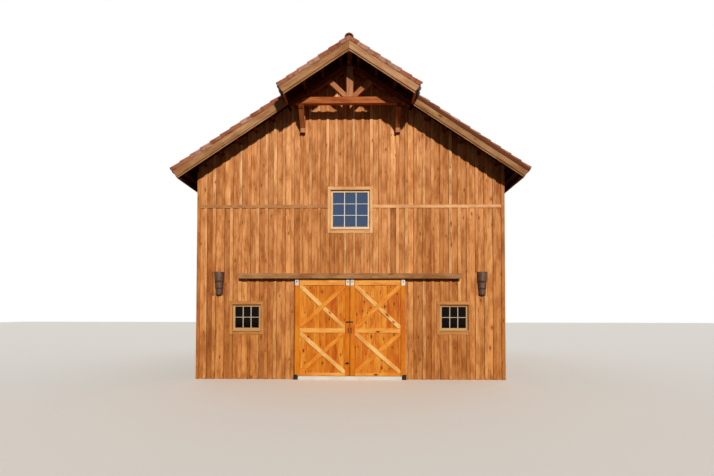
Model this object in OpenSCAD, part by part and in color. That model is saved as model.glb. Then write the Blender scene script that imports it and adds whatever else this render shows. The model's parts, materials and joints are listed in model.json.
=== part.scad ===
// Timber barn with a clay tile roof, a gable hood over the front and a pair of sliding doors.
// Millimetres. Z is up, the front looks along -Y, and the origin is on the ground
// under the middle of the walls' plan.

/* [Building] */
// Width over the siding boards
barn_w = 9094; // [8600:1:9600]
// Length over the siding boards
barn_l = 10922; // [9800:1:12200]
// Height of the side wall's outer face, up to the underside of the purlins
wall_h = 6167; // [5950:1:6500]
// Slope of the roof
roof_angle = 33.69; // [32.5:0.01:35]
// Thickness of a wall, framing and siding boards together
wall_t = 165; // [140:1:200]
// Thickness of the siding boards outside the framing
siding_t = 25; // [18:1:32]
// Height of the concrete floor above the ground
slab_t = 100; // [80:1:120]
// Clearance beside timbers that pass through a wall
notch_gap = 2; // [1:0.5:5]
// Gap left where one layer or timber lies on another at a slant
seat_gap = 0.3; // [0.2:0.1:0.8]

/* [Roof] */
// Depth of a purlin, square to the roof
purlin_d = 140; // [120:1:170]
// Width of a purlin
purlin_w = 89; // [64:1:110]
// Spacing of the purlins down the slope
purlin_pitch = 610; // [570:1:640]
// Distance down the slope from the ridge to the first purlin
purlin_first = 290; // [250:1:330]
// Thickness of the roof planks
deck_t = 40; // [25:1:50]
// Height of the clay tiles over the roof planks
tile_h = 115; // [95:1:130]
// Thickness of the rake boards and eave boards
verge_t = 38; // [30:1:50]
// How far the rake boards and eave boards hang below the purlins
verge_drop = 66; // [40:1:90]
// How far the rake boards' face layer stops above their lower edge
verge_lip = 24; // [15:1:35]
// Thickness of the rake boards' face layer
verge_face_t = 19; // [12:1:22]
// Reach of the roof down the slope past the side walls
eave_over = 535; // [480:1:600]
// Reach of the roof past the front and back walls
rake_over = 610; // [575:1:700]
// Reach of the tiles past the boards under them
tile_over = 18; // [10:1:30]
// Width of the ridge beam
ridge_w = 140; // [110:1:170]
// Depth of the ridge beam below the point of its top
ridge_d = 300; // [240:1:340]
// Outer radius of the round ridge tiles
cap_r = 130; // [115:1:150]
// Thickness of the ridge tiles
cap_t = 18; // [12:1:25]
// Height of the top of the ridge tiles above the point where the tile planes meet
cap_rise = 48; // [42:1:60]

/* [Gable hood] */
// Reach of the hood past the front wall
hood_over = 1265; // [1100:1:1450]
// Length of the hood down the slope from the ridge
hood_run = 2195; // [2190:1:2260]
// Distance of the truss's front face from the wall
truss_out = 550; // [440:1:560]
// Thickness of the truss's timbers, front to back
truss_t = 140; // [100:1:180]
// Depth of the truss's top chords
chord_d = 140; // [110:1:170]
// Length of the top chords down the slope
chord_run = 2150; // [2000:1:2180]
// Distance of the tie beam's underside below the peak of the purlins' seats
tie_below = 1216; // [1180:1:1260]
// Depth of the tie beam
tie_d = 190; // [150:1:210]
// Width of the king post
king_w = 190; // [150:1:220]
// Width of the struts
strut_w = 140; // [110:1:160]
// Lean of the struts from upright
strut_angle = 46; // [42:1:50]
// Distance of the brackets from the middle
bracket_x = 1410; // [1350:1:1460]
// Width of the bracket timbers
bracket_w = 140; // [110:1:160]
// Depth of the bracket's beam and post
bracket_d = 140; // [110:1:160]
// Height of a bracket, from its foot to the top of its beam
bracket_h = 682; // [600:1:760]
// Depth of the bracket's brace
brace_d = 100; // [80:1:120]
// Reach of the bracket's beam past the truss
bracket_nose = 30; // [10:1:60]
// Gap left where two timbers meet at a slant
mitre_gap = 2; // [1:0.5:3]

/* [Inner frames] */
// Width of the inner frames' timbers
frame_w = 140; // [110:1:180]
// Depth of the inner rafters
rafter_d = 190; // [150:1:220]
// Depth of the inner tie beams
inner_tie_d = 240; // [190:1:280]
// Height of a rafter's seat on its tie beam
seat_h = 90; // [60:1:120]

/* [Trim] */
// Width of the corner boards
corner_w = 105; // [90:1:130]
// Thickness of the corner boards, bands and window casings
trim_t = 25; // [19:1:30]
// Height of the underside of the band round the walls
band_z = 5080; // [5000:1:5150]
// Height of the band
band_h = 95; // [70:1:120]

/* [Windows] */
// Width of the loft window's glass
loft_glass_w = 1040; // [900:1:1150]
// Height of the loft window's glass
loft_glass_h = 1030; // [900:1:1100]
// Height of the bottom of the loft window's glass
loft_glass_z = 4530; // [4450:1:4600]
// Width of a lower window's glass
low_glass_w = 710; // [600:1:800]
// Height of a lower window's glass
low_glass_h = 628; // [550:1:720]
// Height of the bottom of a lower window's glass
low_glass_z = 1513; // [1400:1:1600]
// Distance of the lower windows from the middle of the front
low_window_x = 3073; // [2950:1:3150]
// Width of the sash round the glass
sash_w = 52; // [40:1:65]
// Thickness of the sash
sash_t = 45; // [35:1:55]
// Distance of the sash behind the wall's outer face
sash_in = 55; // [30:1:75]
// Thickness of the glass
glass_t = 6; // [4:1:8]
// Thickness of the lining inside the window opening
lining_t = 20; // [15:1:30]
// Width of the casing beside the window
casing_w = 102; // [80:1:120]
// Height of the casing over the window
head_h = 108; // [80:1:130]
// Height of the sill board under the window
sill_h = 145; // [110:1:160]
// Number of windows along each side
side_windows = 3; // [1:1:3]

/* [Doors] */
// Width of one door leaf
leaf_w = 1623; // [1580:1:1660]
// Height of a door leaf
leaf_h = 2850; // [2750:1:2870]
// Gap under a leaf
leaf_lift = 10; // [8:1:20]
// Half of the gap between the closed leaves
seam = 3; // [2.5:0.5:5]
// How far a leaf laps past the doorway's edge
leaf_lap = 102; // [90:1:130]
// How far a leaf laps over the top of the doorway
head_lap = 65; // [40:1:90]
// Gap between the siding boards and a leaf
leaf_gap = 38; // [34:1:44]
// How far a leaf slides to open
leaf_travel = 1600; // [1500:1:1620]
// Thickness of a leaf's upright boards
panel_t = 25; // [20:1:30]
// Thickness of a leaf's frame boards
rail_t = 25; // [20:1:28]
// Width of a leaf's stiles
stile_w = 140; // [120:1:160]
// Height of a leaf's top rail
top_rail = 184; // [150:1:200]
// Height of a leaf's middle rail
mid_rail = 132; // [110:1:150]
// Height of a leaf's bottom rail
low_rail = 89; // [70:1:110]
// Height of the middle rail's centre above the leaf's bottom
mid_rail_z = 1332; // [1250:1:1400]
// Width of the crossed braces
cross_w = 115; // [90:1:130]
// Gap at the joints of a leaf's frame boards
joint_gap = 1.5; // [1:0.5:3]

/* [Door track] */
// Length of track left past an open leaf
track_end = 24; // [5:1:60]
// How far the backing board starts below the track
track_board_drop = 5; // [0:1:10]
// Gap between the top of a leaf and the track
track_lift = 25; // [15:1:35]
// Width of the track, front to back
track_w = 64; // [60:1:70]
// Height of the track
track_h = 48; // [46:1:54]
// Thickness of the track's steel
track_t = 3; // [2:0.5:4]
// Width of the slot along the track's underside
slot_w = 18; // [18:1:20]
// Radius of a trolley wheel
wheel_r = 17; // [14:0.5:17]
// Thickness of a trolley wheel
wheel_t = 12; // [9:1:12]
// Running gap between a wheel and the track's lip
wheel_gap = 0.3; // [0.2:0.1:1]
// Half the distance between the wheels of one hanger
wheel_x = 28; // [24:1:32]
// Radius of a wheel's axle
axle_r = 5; // [4:0.5:7]
// Gap between the wheels and the hanger's strap
wheel_side = 5; // [5:0.5:6]
// Thickness of the hanger's upright strap
strap_t = 8; // [6:1:8]
// Width of the strap past the middle of the outer axles
strap_side = 12; // [9:1:16]
// Width of a hanger's plate
plate_w = 106; // [90:1:120]
// Height of a hanger's plate
plate_h = 190; // [150:1:220]
// Thickness of a hanger's plate
plate_t = 5; // [4:1:6]
// Distance of a hanger's plate from the leaf's edge
plate_in = 4; // [2:1:10]
// Reach of the cover past the track's ends
cover_end = 20; // [12:1:60]
// Height of the cover's face board
cover_h = 152; // [145:1:170]
// Height of the underside of the cover above the top of a leaf
cover_lift = 8; // [6:1:15]
// Distance of the cover's face from the siding boards
cover_out = 190; // [160:1:220]
// Thickness of the cover's boards
cover_t = 25; // [19:1:28]

/* [Door fittings] */
// Height of the latch bar above the ground
latch_z = 1694; // [1650:1:1750]
// Length of the latch bar
latch_l = 210; // [180:1:240]
// How far the latch bar laps over the right leaf
latch_lap = 92; // [70:1:100]
// Height of the latch bar's flat
latch_h = 38; // [30:1:45]
// Thickness of the latch bar
latch_t = 8; // [6:1:10]
// Gap between the latch bar and the leaves
latch_gap = 7; // [6:1:10]
// Height of the middle of the pull handles above the ground
handle_z = 1450; // [1400:1:1500]
// Length of a pull handle
handle_l = 150; // [130:1:170]
// Distance of a pull handle from the seam
handle_x = 42; // [36:1:50]
// Reach of a pull handle in front of the leaf
handle_out = 45; // [35:1:50]
// Thickness of a pull handle's bar
handle_t = 14; // [10:1:16]
// Height of the foot bolt above the ground
bolt_z = 480; // [440:1:520]
// Length of the foot bolt's plate
bolt_l = 110; // [90:1:120]
// Height of the foot bolt's plate
bolt_h = 50; // [40:1:60]
// Thickness of the foot bolt's plate
bolt_t = 6; // [4:1:8]
// Distance of the foot bolt from the seam
bolt_in = 20; // [10:1:25]
// Radius of the foot bolt's rod
bolt_r = 8; // [6:0.5:9]
// Distance of a door guide's middle from the outer edge of the closed leaf
guide_in = 26; // [20:1:30]
// Width of a door guide
guide_w = 110; // [90:1:112]
// Height of a door guide
guide_h = 150; // [140:1:180]
// Gap between a guide and the leaf's face
guide_gap = 6; // [5:1:8]
// Thickness of a guide's plate
guide_t = 8; // [6:1:10]

/* [Lanterns] */
// Distance of the wall lanterns from the middle
lantern_x = 3894; // [3850:1:3950]
// Height of the bottom of a lantern above the ground
lantern_z = 2460; // [2400:1:2500]
// Height of a lantern
lantern_h = 712; // [650:1:750]
// Radius of a lantern at its top
lantern_r = 148; // [130:1:160]
// Height of the middle tier's foot above the lantern's bottom
middle_tier_z = 218; // [190:1:250]
// Height of the upper tier's foot above the lantern's bottom
upper_tier_z = 418; // [380:1:450]
// How much a tier narrows towards its foot
tier_taper = 9; // [4:1:14]
// How far a tier stands out past the one below it
tier_step = 8; // [5:1:12]
// Height of the lantern's rounded bottom
lantern_foot_h = 50; // [30:1:70]
// Thickness of a lantern's metal
lantern_t = 4; // [3:0.5:6]

/* [Hidden] */
$fn = 64;

tn = tan(roof_angle);
cs = cos(roof_angle);
sn = sin(roof_angle);

half_w = barn_w / 2;
front_y = -barn_l / 2;
back_y = barn_l / 2;
peak_z = wall_h + half_w * tn;

deck_low = purlin_d + seat_gap;
deck_top = deck_low + deck_t;
tile_low = deck_top + seat_gap;
tile_top = deck_top + tile_h;
roof_run = half_w / cs + eave_over;
verge_front = front_y - rake_over;
verge_back = back_y + rake_over;
hood_front = front_y - hood_over;
purlin_count = floor((roof_run - verge_t - purlin_w / 2 - purlin_first) / purlin_pitch) + 1;
purlin_s = [for (i = [0:purlin_count - 1]) purlin_first + i * purlin_pitch];
ridge_top = peak_z + purlin_d / cs;
ridge_z = ridge_top - ridge_d;

chord_z = peak_z - chord_d / cs;
truss_y = front_y - truss_out;
tie_z = peak_z - tie_below;
tie_top = tie_z + tie_d;
bracket_foot = tie_z - bracket_h;

inner_y = [front_y + barn_l / 3, front_y + barn_l * 2 / 3];
inner_half = half_w - wall_t;
inner_tie_top = peak_z - rafter_d / cs - inner_half * tn + seat_h;

leaf_z = slab_t + leaf_lift;
leaf_top = leaf_z + leaf_h;
leaf_back = front_y - leaf_gap;
panel_front = leaf_back - panel_t;
leaf_front = panel_front - rail_t;
door_half = seam + leaf_w - leaf_lap;
door_top = leaf_top - head_lap;

track_z = leaf_top + track_lift;
track_y = leaf_back - (panel_t + rail_t) / 2;
cover_z = leaf_top + cover_lift;
wheel_z = track_z + track_t + wheel_gap + wheel_r;
wheel_y = strap_t / 2 + wheel_side;
track_half = seam + leaf_w + leaf_travel + track_end;
cover_half = track_half + cover_end;
guide_x = seam + leaf_w - guide_in;

// Extrudes an outline drawn in X and Z from y0 to y1.
module along_y(y0, y1) {
    translate([0, y1, 0])
        rotate([90, 0, 0])
            linear_extrude(y1 - y0)
                children();
}

// Extrudes an outline drawn in Y and Z from x0 to x1.
module along_x(x0, x1) {
    translate([x0, 0, 0])
        rotate([90, 0, 90])
            linear_extrude(x1 - x0)
                children();
}

module box(x0, x1, y0, y1, z0, z1) {
    translate([x0, y0, z0])
        cube([x1 - x0, y1 - y0, z1 - z0]);
}

// Repeats a piece on the other side of the middle.
module both_sides() {
    children();
    mirror([1, 0, 0]) children();
}

// A point of the right slope: s runs down the slope from the ridge, h stands square to it
// above the underside of the purlins.
function on_roof(s, h) = [s * cs + h * sn, peak_z - s * sn + h * cs];

// The outline of a layer of the right slope, from the ridge down to run.
module slope_layer(run, h0, h1, x0 = 0) {
    polygon([
        [x0, peak_z + h0 / cs - x0 * tn], on_roof(run, h0),
        on_roof(run, h1), [x0, peak_z + h1 / cs - x0 * tn]
    ]);
}

// The outline of a board on the right slope, cut square at both ends.
module slope_board(s0, s1, h0, h1) {
    polygon([on_roof(s0, h0), on_roof(s1, h0), on_roof(s1, h1), on_roof(s0, h1)]);
}

// A layer that covers the main roof and runs forward over the hood.
module roof_layer(h0, h1, over, y_over) {
    along_y(verge_front - y_over, verge_back + y_over)
        slope_layer(roof_run + over, h0, h1);
    along_y(hood_front - y_over, verge_front - y_over)
        slope_layer(hood_run + over, h0, h1);
}

// With a gap the outlines are those of a notch: wider than the timber, and open at the top.
module purlin_outline(s, gap = 0, seat = 0) {
    slope_board(s - purlin_w / 2 - gap, s + purlin_w / 2 + gap, -seat, purlin_d + gap);
}

module ridge_outline(gap = 0, seat = 0) {
    half = ridge_w / 2 + gap;
    low = ridge_z - seat;
    top = ridge_top + gap;
    polygon([[-half, low], [half, low], [half, top - half * tn], [0, top], [-half, top - half * tn]]);
}

// The room that the purlins and the ridge beam take where they pass through a wall.
module purlin_notches(y0, y1) {
    along_y(y0, y1) {
        ridge_outline(notch_gap, seat_gap);
        both_sides()
            for (s = purlin_s) purlin_outline(s, notch_gap, seat_gap);
    }
}

// The end walls' outline, from the ground up to the underside of the roof planks.
module gable_outline() {
    eave_z = wall_h + purlin_d / cs;
    polygon([[-half_w, 0], [half_w, 0], [half_w, eave_z], [0, ridge_top], [-half_w, eave_z]]);
}

// The framing stands on the floor slab, and the siding boards outside it run to the ground.
module slab_block() {
    box(-half_w + siding_t, half_w - siding_t, front_y + siding_t, back_y - siding_t, 0, slab_t);
}

module floor_slab() {
    color("#a8a49c") slab_block();
}

module door_sill() {
    color("#b5b1a8") box(-door_half, door_half, leaf_front, front_y + siding_t, 0, slab_t);
}

// The hole that a window's lining fits, in a wall whose outer face is at y = 0.
module window_hole(w, h, z) {
    side = sash_w + lining_t + notch_gap;
    box(-w / 2 - side, w / 2 + side, -1, wall_t + 1, z - side, z + h + side);
}

// A ring between two rectangles that stand round a window's glass.
module window_ring(w, h, z, grow_in, grow_out, y0, y1) {
    difference() {
        box(-w / 2 - grow_out, w / 2 + grow_out, y0, y1, z - grow_out, z + h + grow_out);
        box(-w / 2 - grow_in, w / 2 + grow_in, y0 - 1, y1 + 1, z - grow_in, z + h + grow_in);
    }
}

// Sash, lining and casing of one window.
module window_frame(w, h, z) {
    union() {
        window_ring(w, h, z, 0, sash_w + 1, sash_in, sash_in + sash_t);
        window_ring(w, h, z, sash_w, sash_w + lining_t, -1, wall_t);
        difference() {
            box(
                -w / 2 - sash_w - casing_w, w / 2 + sash_w + casing_w, -trim_t, 0,
                z - sash_w - sill_h, z + h + sash_w + head_h
            );
            box(-w / 2 - sash_w, w / 2 + sash_w, -trim_t - 1, 1, z - sash_w, z + h + sash_w);
        }
    }
}

module window_glass(w, h, z) {
    y = sash_in + (sash_t - glass_t) / 2;
    box(-w / 2, w / 2, y, y + glass_t, z, z + h);
}

// Places of the windows: each puts its child's outer face on the wall.
module at_front(x) {
    translate([x, front_y, 0]) children();
}

module at_back(x) {
    translate([x, back_y, 0]) rotate([0, 0, 180]) children();
}

module at_sides() {
    bay = barn_l / side_windows;
    for (side = [-1, 1], i = [0:side_windows - 1])
        translate([side * half_w, front_y + (i + 0.5) * bay, 0])
            rotate([0, 0, side * 90])
                children();
}

module low_hole() {
    window_hole(low_glass_w, low_glass_h, low_glass_z);
}

module loft_hole() {
    window_hole(loft_glass_w, loft_glass_h, loft_glass_z);
}

// The front wall is split beside and over the doorway.
module front_wall_side(x0, x1) {
    difference() {
        box(x0, x1, front_y, front_y + wall_t, 0, door_top);
        slab_block();
        at_front(low_window_x) low_hole();
        at_front(-low_window_x) low_hole();
    }
}

module front_wall_left() {
    color("#b9753d") front_wall_side(-half_w, -door_half);
}

module front_wall_right() {
    color("#b9753d") front_wall_side(door_half, half_w);
}

module front_wall_gable() {
    color("#c18143")
        difference() {
            along_y(front_y, front_y + wall_t) gable_outline();
            box(-half_w - 1, half_w + 1, front_y - 1, front_y + wall_t + 1, -1, door_top);
            at_front(0) loft_hole();
            purlin_notches(front_y - 1, front_y + wall_t + 1);
        }
}

module back_wall() {
    color("#c18143")
        difference() {
            along_y(back_y - wall_t, back_y) gable_outline();
            slab_block();
            at_back(0) loft_hole();
            at_back(low_window_x) low_hole();
            at_back(-low_window_x) low_hole();
            purlin_notches(back_y - wall_t - 1, back_y + 1);
        }
}

module side_wall() {
    difference() {
        along_y(front_y + wall_t, back_y - wall_t)
            intersection() {
                gable_outline();
                translate([half_w - wall_t, -1]) square([wall_t + 1, peak_z]);
            }
        slab_block();
        at_sides() low_hole();
        purlin_notches(front_y, back_y);
    }
}

module left_wall() {
    color("#b9753d") mirror([1, 0, 0]) side_wall();
}

module right_wall() {
    color("#b9753d") side_wall();
}

module inner_posts() {
    post_top = inner_tie_top - inner_tie_d;
    color("#9a6b3c")
        both_sides()
            for (y = inner_y)
                box(inner_half - frame_w, inner_half, y - frame_w / 2, y + frame_w / 2, slab_t, post_top);
}

module inner_tie_beams() {
    color("#9a6b3c")
        for (y = inner_y)
            box(
                -inner_half, inner_half, y - frame_w / 2, y + frame_w / 2,
                inner_tie_top - inner_tie_d, inner_tie_top
            );
}

// Each rafter leans on its king post and stands on its tie beam.
module inner_rafters() {
    color("#9a6b3c")
        both_sides()
            for (y = inner_y)
                along_y(y - frame_w / 2, y + frame_w / 2)
                    intersection() {
                        slope_layer(roof_run, -rafter_d, -seat_gap, king_w / 2 + mitre_gap);
                        translate([0, inner_tie_top]) square([inner_half, peak_z]);
                    }
}

module inner_king_posts() {
    color("#9a6b3c")
        for (y = inner_y)
            box(
                -king_w / 2, king_w / 2, y - frame_w / 2, y + frame_w / 2,
                inner_tie_top, ridge_z - seat_gap
            );
}

module ridge_beam() {
    color("#9a6b3c") along_y(hood_front + verge_t, verge_back - verge_t) ridge_outline();
}

// Purlins within the hood's width run forward to its rake boards.
module purlins() {
    for (s = purlin_s) {
        in_hood = s + purlin_w / 2 <= hood_run - verge_t;
        clear_of_hood = s - purlin_w / 2 >= hood_run;
        front = in_hood ? hood_front + verge_t : clear_of_hood ? verge_front + verge_t : front_y;
        along_y(front, verge_back - verge_t) purlin_outline(s);
    }
}

module left_purlins() {
    color("#8a5a30") mirror([1, 0, 0]) purlins();
}

module right_purlins() {
    color("#8a5a30") purlins();
}

module left_roof_deck() {
    color("#7d5230") mirror([1, 0, 0]) roof_layer(deck_low, deck_top, -verge_t, -verge_t);
}

module right_roof_deck() {
    color("#7d5230") roof_layer(deck_low, deck_top, -verge_t, -verge_t);
}

module left_roof_tiles() {
    color("#a66648") mirror([1, 0, 0]) roof_layer(tile_low, tile_top, tile_over, tile_over);
}

module right_roof_tiles() {
    color("#a66648") roof_layer(tile_low, tile_top, tile_over, tile_over);
}

// Half-round ridge tiles sit astride both slopes of tiles.
module ridge_tiles() {
    tile_peak = peak_z + tile_top / cs;
    seat_peak = tile_peak + seat_gap;
    color("#a86a4c")
        along_y(hood_front - tile_over, verge_back + tile_over)
            difference() {
                translate([0, tile_peak + cap_rise - cap_r]) {
                    difference() {
                        circle(cap_r);
                        circle(cap_r - cap_t);
                        translate([-cap_r - 1, -2 * cap_r]) square([2 * cap_r + 2, 2 * cap_r - cap_t]);
                    }
                }
                polygon([
                    [0, seat_peak], [2 * cap_r, seat_peak - 2 * cap_r * tn],
                    [-2 * cap_r, seat_peak - 2 * cap_r * tn]
                ]);
            }
}

// A rake board has a face layer outside and a deeper layer behind it. The first child is the
// face's outline, the second the one behind. side is -1 on the front and 1 on the back.
module rake_layers(y, side) {
    step_y = y - side * verge_face_t;
    in_y = y - side * verge_t;
    both_sides() {
        along_y(min(y, step_y), max(y, step_y)) children(0);
        along_y(min(step_y, in_y), max(step_y, in_y)) children(1);
    }
}

// Boards that meet at the ridge in a plumb joint.
module peaked_rakes(y, side, run) {
    rake_layers(y, side) {
        slope_layer(run, verge_lip - verge_drop, deck_top, mitre_gap / 2);
        slope_layer(run, -verge_drop, deck_top, mitre_gap / 2);
    }
}

module front_rake_boards() {
    color("#b88a58")
        rake_layers(verge_front, -1) {
            slope_board(hood_run + mitre_gap, roof_run, verge_lip - verge_drop, deck_top);
            slope_board(hood_run + mitre_gap, roof_run, -verge_drop, deck_top);
        }
}

module back_rake_boards() {
    color("#b88a58") peaked_rakes(verge_back, 1, roof_run);
}

module hood_rake_boards() {
    color("#b88a58") peaked_rakes(hood_front, -1, hood_run);
}

module eave_boards() {
    color("#8a6038")
        both_sides()
            along_y(verge_front + verge_t, verge_back - verge_t)
                slope_board(roof_run - verge_t, roof_run, -verge_drop, deck_top);
}

module hood_eave_boards() {
    color("#8a6038")
        both_sides()
            along_y(hood_front + verge_t, verge_front)
                slope_board(hood_run - verge_t, hood_run, -verge_drop, deck_top);
}

module hood_top_chords() {
    color("#a5683a")
        both_sides()
            along_y(truss_y, truss_y + truss_t)
                slope_layer(chord_run, -chord_d, -seat_gap, king_w / 2 + mitre_gap);
}

// The tie beam's ends are cut to the slope of the chords over it.
module hood_tie_beam() {
    under_chord = chord_z - seat_gap / cs;
    half_low = (under_chord - tie_z) / tn;
    half_high = (under_chord - tie_top) / tn;
    color("#a5683a")
        along_y(truss_y, truss_y + truss_t)
            polygon([
                [-half_low, tie_z], [half_low, tie_z], [half_high, tie_top], [-half_high, tie_top]
            ]);
}

module hood_king_post() {
    color("#a5683a")
        box(-king_w / 2, king_w / 2, truss_y, truss_y + truss_t, tie_top, ridge_z - seat_gap);
}

// A strut leans from the foot of the king post up to the underside of a chord.
module hood_struts() {
    inner = king_w / 2 + mitre_gap;
    under_chord = chord_z - seat_gap / cs;
    color("#a5683a")
        both_sides()
            along_y(truss_y, truss_y + truss_t)
                intersection() {
                    translate([king_w / 2, tie_top])
                        rotate([0, 0, 90 - strut_angle])
                            translate([-strut_w, -strut_w / 2]) square([peak_z - tie_z, strut_w]);
                    polygon([
                        [inner, tie_top], [(under_chord - tie_top) / tn, tie_top],
                        [inner, under_chord - inner * tn]
                    ]);
                }
}

module bracket_at() {
    both_sides() translate([bracket_x, 0, 0]) children();
}

module bracket_posts() {
    color("#a05c30")
        bracket_at()
            box(-bracket_w / 2, bracket_w / 2, front_y - bracket_d, front_y, bracket_foot, tie_z - bracket_d);
}

module bracket_beams() {
    color("#a05c30")
        bracket_at()
            box(
                -bracket_w / 2, bracket_w / 2, truss_y - bracket_nose, front_y,
                tie_z - bracket_d, tie_z
            );
}

// A brace slants from the bracket's post up to the underside of its beam.
module bracket_braces() {
    top_z = tie_z - bracket_d;
    post_y = front_y - bracket_d;
    reach = truss_out - bracket_d;
    color("#a05c30")
        bracket_at()
            along_x(-bracket_w / 2, bracket_w / 2)
                intersection() {
                    translate([post_y - reach, top_z])
                        rotate([0, 0, -45])
                            translate([-brace_d, 0]) square([2 * reach, brace_d]);
                    translate([post_y - reach - brace_d, bracket_foot])
                        square([reach + brace_d, top_z - bracket_foot]);
                }
}

// One corner board: two boards that wrap the front right corner, cut to the roof's slope.
module corner_board() {
    inner = half_w - corner_w + trim_t;
    outer = half_w + trim_t;
    difference() {
        along_y(front_y - trim_t, front_y + corner_w - trim_t)
            polygon([
                [inner, 0], [outer, 0], [outer, peak_z - outer * tn], [inner, peak_z - inner * tn]
            ]);
        box(half_w - corner_w, half_w, front_y, front_y + corner_w, -1, peak_z);
    }
}

module corner_boards() {
    color("#c08a50")
        both_sides() {
            corner_board();
            mirror([0, 1, 0]) corner_board();
        }
}

// The band covers the joint of the siding boards, between the corner boards and the loft windows.
module siding_bands() {
    inner = loft_glass_w / 2 + sash_w + casing_w;
    outer = half_w - corner_w + trim_t;
    run = back_y - corner_w + trim_t;
    color("#c9945a")
        both_sides() {
            box(inner, outer, front_y - trim_t, front_y, band_z, band_z + band_h);
            box(inner, outer, back_y, back_y + trim_t, band_z, band_z + band_h);
            box(half_w, half_w + trim_t, -run, run, band_z, band_z + band_h);
        }
}

module loft_window_frame() {
    color("#d8a878") at_front(0) window_frame(loft_glass_w, loft_glass_h, loft_glass_z);
}

module loft_window_glass() {
    color("#47596f") at_front(0) window_glass(loft_glass_w, loft_glass_h, loft_glass_z);
}

module front_window_frames() {
    color("#d8a878")
        for (x = [-low_window_x, low_window_x])
            at_front(x) window_frame(low_glass_w, low_glass_h, low_glass_z);
}

module front_window_glass() {
    color("#2a2a30")
        for (x = [-low_window_x, low_window_x])
            at_front(x) window_glass(low_glass_w, low_glass_h, low_glass_z);
}

module side_window_frames() {
    color("#d8a878") at_sides() window_frame(low_glass_w, low_glass_h, low_glass_z);
}

module side_window_glass() {
    color("#2a2a30") at_sides() window_glass(low_glass_w, low_glass_h, low_glass_z);
}

module back_window_frames() {
    color("#d8a878") {
        at_back(0) window_frame(loft_glass_w, loft_glass_h, loft_glass_z);
        for (x = [-low_window_x, low_window_x])
            at_back(x) window_frame(low_glass_w, low_glass_h, low_glass_z);
    }
}

module back_window_glass() {
    color("#47596f") {
        at_back(0) window_glass(loft_glass_w, loft_glass_h, loft_glass_z);
        for (x = [-low_window_x, low_window_x])
            at_back(x) window_glass(low_glass_w, low_glass_h, low_glass_z);
    }
}

module track_board() {
    color("#8f6a48")
        box(
            -track_half, track_half, track_y + track_w / 2, front_y,
            track_z - track_board_drop, cover_z + cover_h - cover_t
        );
}

// The track is a steel channel with a slot along its underside.
module door_track() {
    inner = track_w / 2 - track_t;
    color("#9ea2a6")
        along_x(-track_half, track_half)
            translate([track_y, track_z])
                difference() {
                    translate([-track_w / 2, 0]) square([track_w, track_h]);
                    translate([-inner, track_t]) square([2 * inner, track_h - 2 * track_t]);
                    translate([-slot_w / 2, -1]) square([slot_w, track_t + 2]);
                }
}

module track_cover() {
    top = cover_z + cover_h;
    color("#8f6a48") {
        box(-cover_half, cover_half, front_y - cover_out, front_y - cover_out + cover_t, cover_z, top);
        box(-cover_half, cover_half, front_y - cover_out, front_y, top - cover_t, top);
    }
}

// A bent plate under each leaf's lower edge keeps the leaf against the wall.
module door_guides() {
    ear_y = leaf_front - guide_gap;
    color("#1c1c1e")
        both_sides()
            translate([guide_x, 0, 0]) {
                box(-guide_w / 2, guide_w / 2, ear_y - guide_t, front_y, 0, guide_t);
                box(-guide_w / 2, guide_w / 2, ear_y - guide_t, ear_y, 0, guide_h);
            }
}

// Three tiers over a rounded bottom, drawn inset from the outside by the metal's thickness or 0.
module lantern_body(inset, top) {
    upper = lantern_r - inset;
    middle = upper - tier_taper - tier_step;
    lower = middle - tier_taper - tier_step;
    foot = lower - tier_taper;
    rotate_extrude()
        polygon(concat(
            [for (a = [-90:15:0]) [foot * cos(a), inset + lantern_foot_h * (1 + sin(a))]],
            [
                [lower, middle_tier_z + inset], [middle - tier_taper, middle_tier_z + inset],
                [middle, upper_tier_z + inset], [upper - tier_taper, upper_tier_z + inset],
                [upper, top], [0, top]
            ]
        ));
}

// Half-round lanterns, open at the top, with a flat back against the wall.
module lanterns() {
    color("#4a3a30")
        for (x = [-lantern_x, lantern_x])
            translate([x, front_y, lantern_z])
                difference() {
                    lantern_body(0, lantern_h);
                    difference() {
                        lantern_body(lantern_t, lantern_h + 1);
                        box(-lantern_r, lantern_r, -lantern_t, 0, 0, 2 * lantern_h);
                    }
                    box(-lantern_r - 1, lantern_r + 1, 0, lantern_r + 1, -1, lantern_h + 1);
                }
}

// The pieces of the right leaf are drawn, and the left leaf mirrors them.
module leaf_panel() {
    box(seam, seam + leaf_w, panel_front, leaf_back, leaf_z, leaf_top);
}

// A cross of two boards in a bay of the leaf. One board is whole, and the other is in two pieces
// that stop at it. rise is 1 where the whole board rises away from the seam, and -1 where it falls.
module crossed_braces(z0, z1, rise) {
    x0 = seam + stile_w + joint_gap;
    x1 = seam + leaf_w - stile_w - joint_gap;
    w = x1 - x0;
    h = z1 - z0;
    lean = rise * atan(h / w);
    long = norm([w, h]);
    translate([(x0 + x1) / 2, (z0 + z1) / 2]) {
        intersection() {
            square([w, h], center = true);
            rotate([0, 0, lean]) square([long * 2, cross_w], center = true);
        }
        difference() {
            intersection() {
                square([w, h], center = true);
                rotate([0, 0, -lean]) square([long * 2, cross_w], center = true);
            }
            rotate([0, 0, lean]) square([long * 2, cross_w + 2 * joint_gap], center = true);
        }
    }
}

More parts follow.
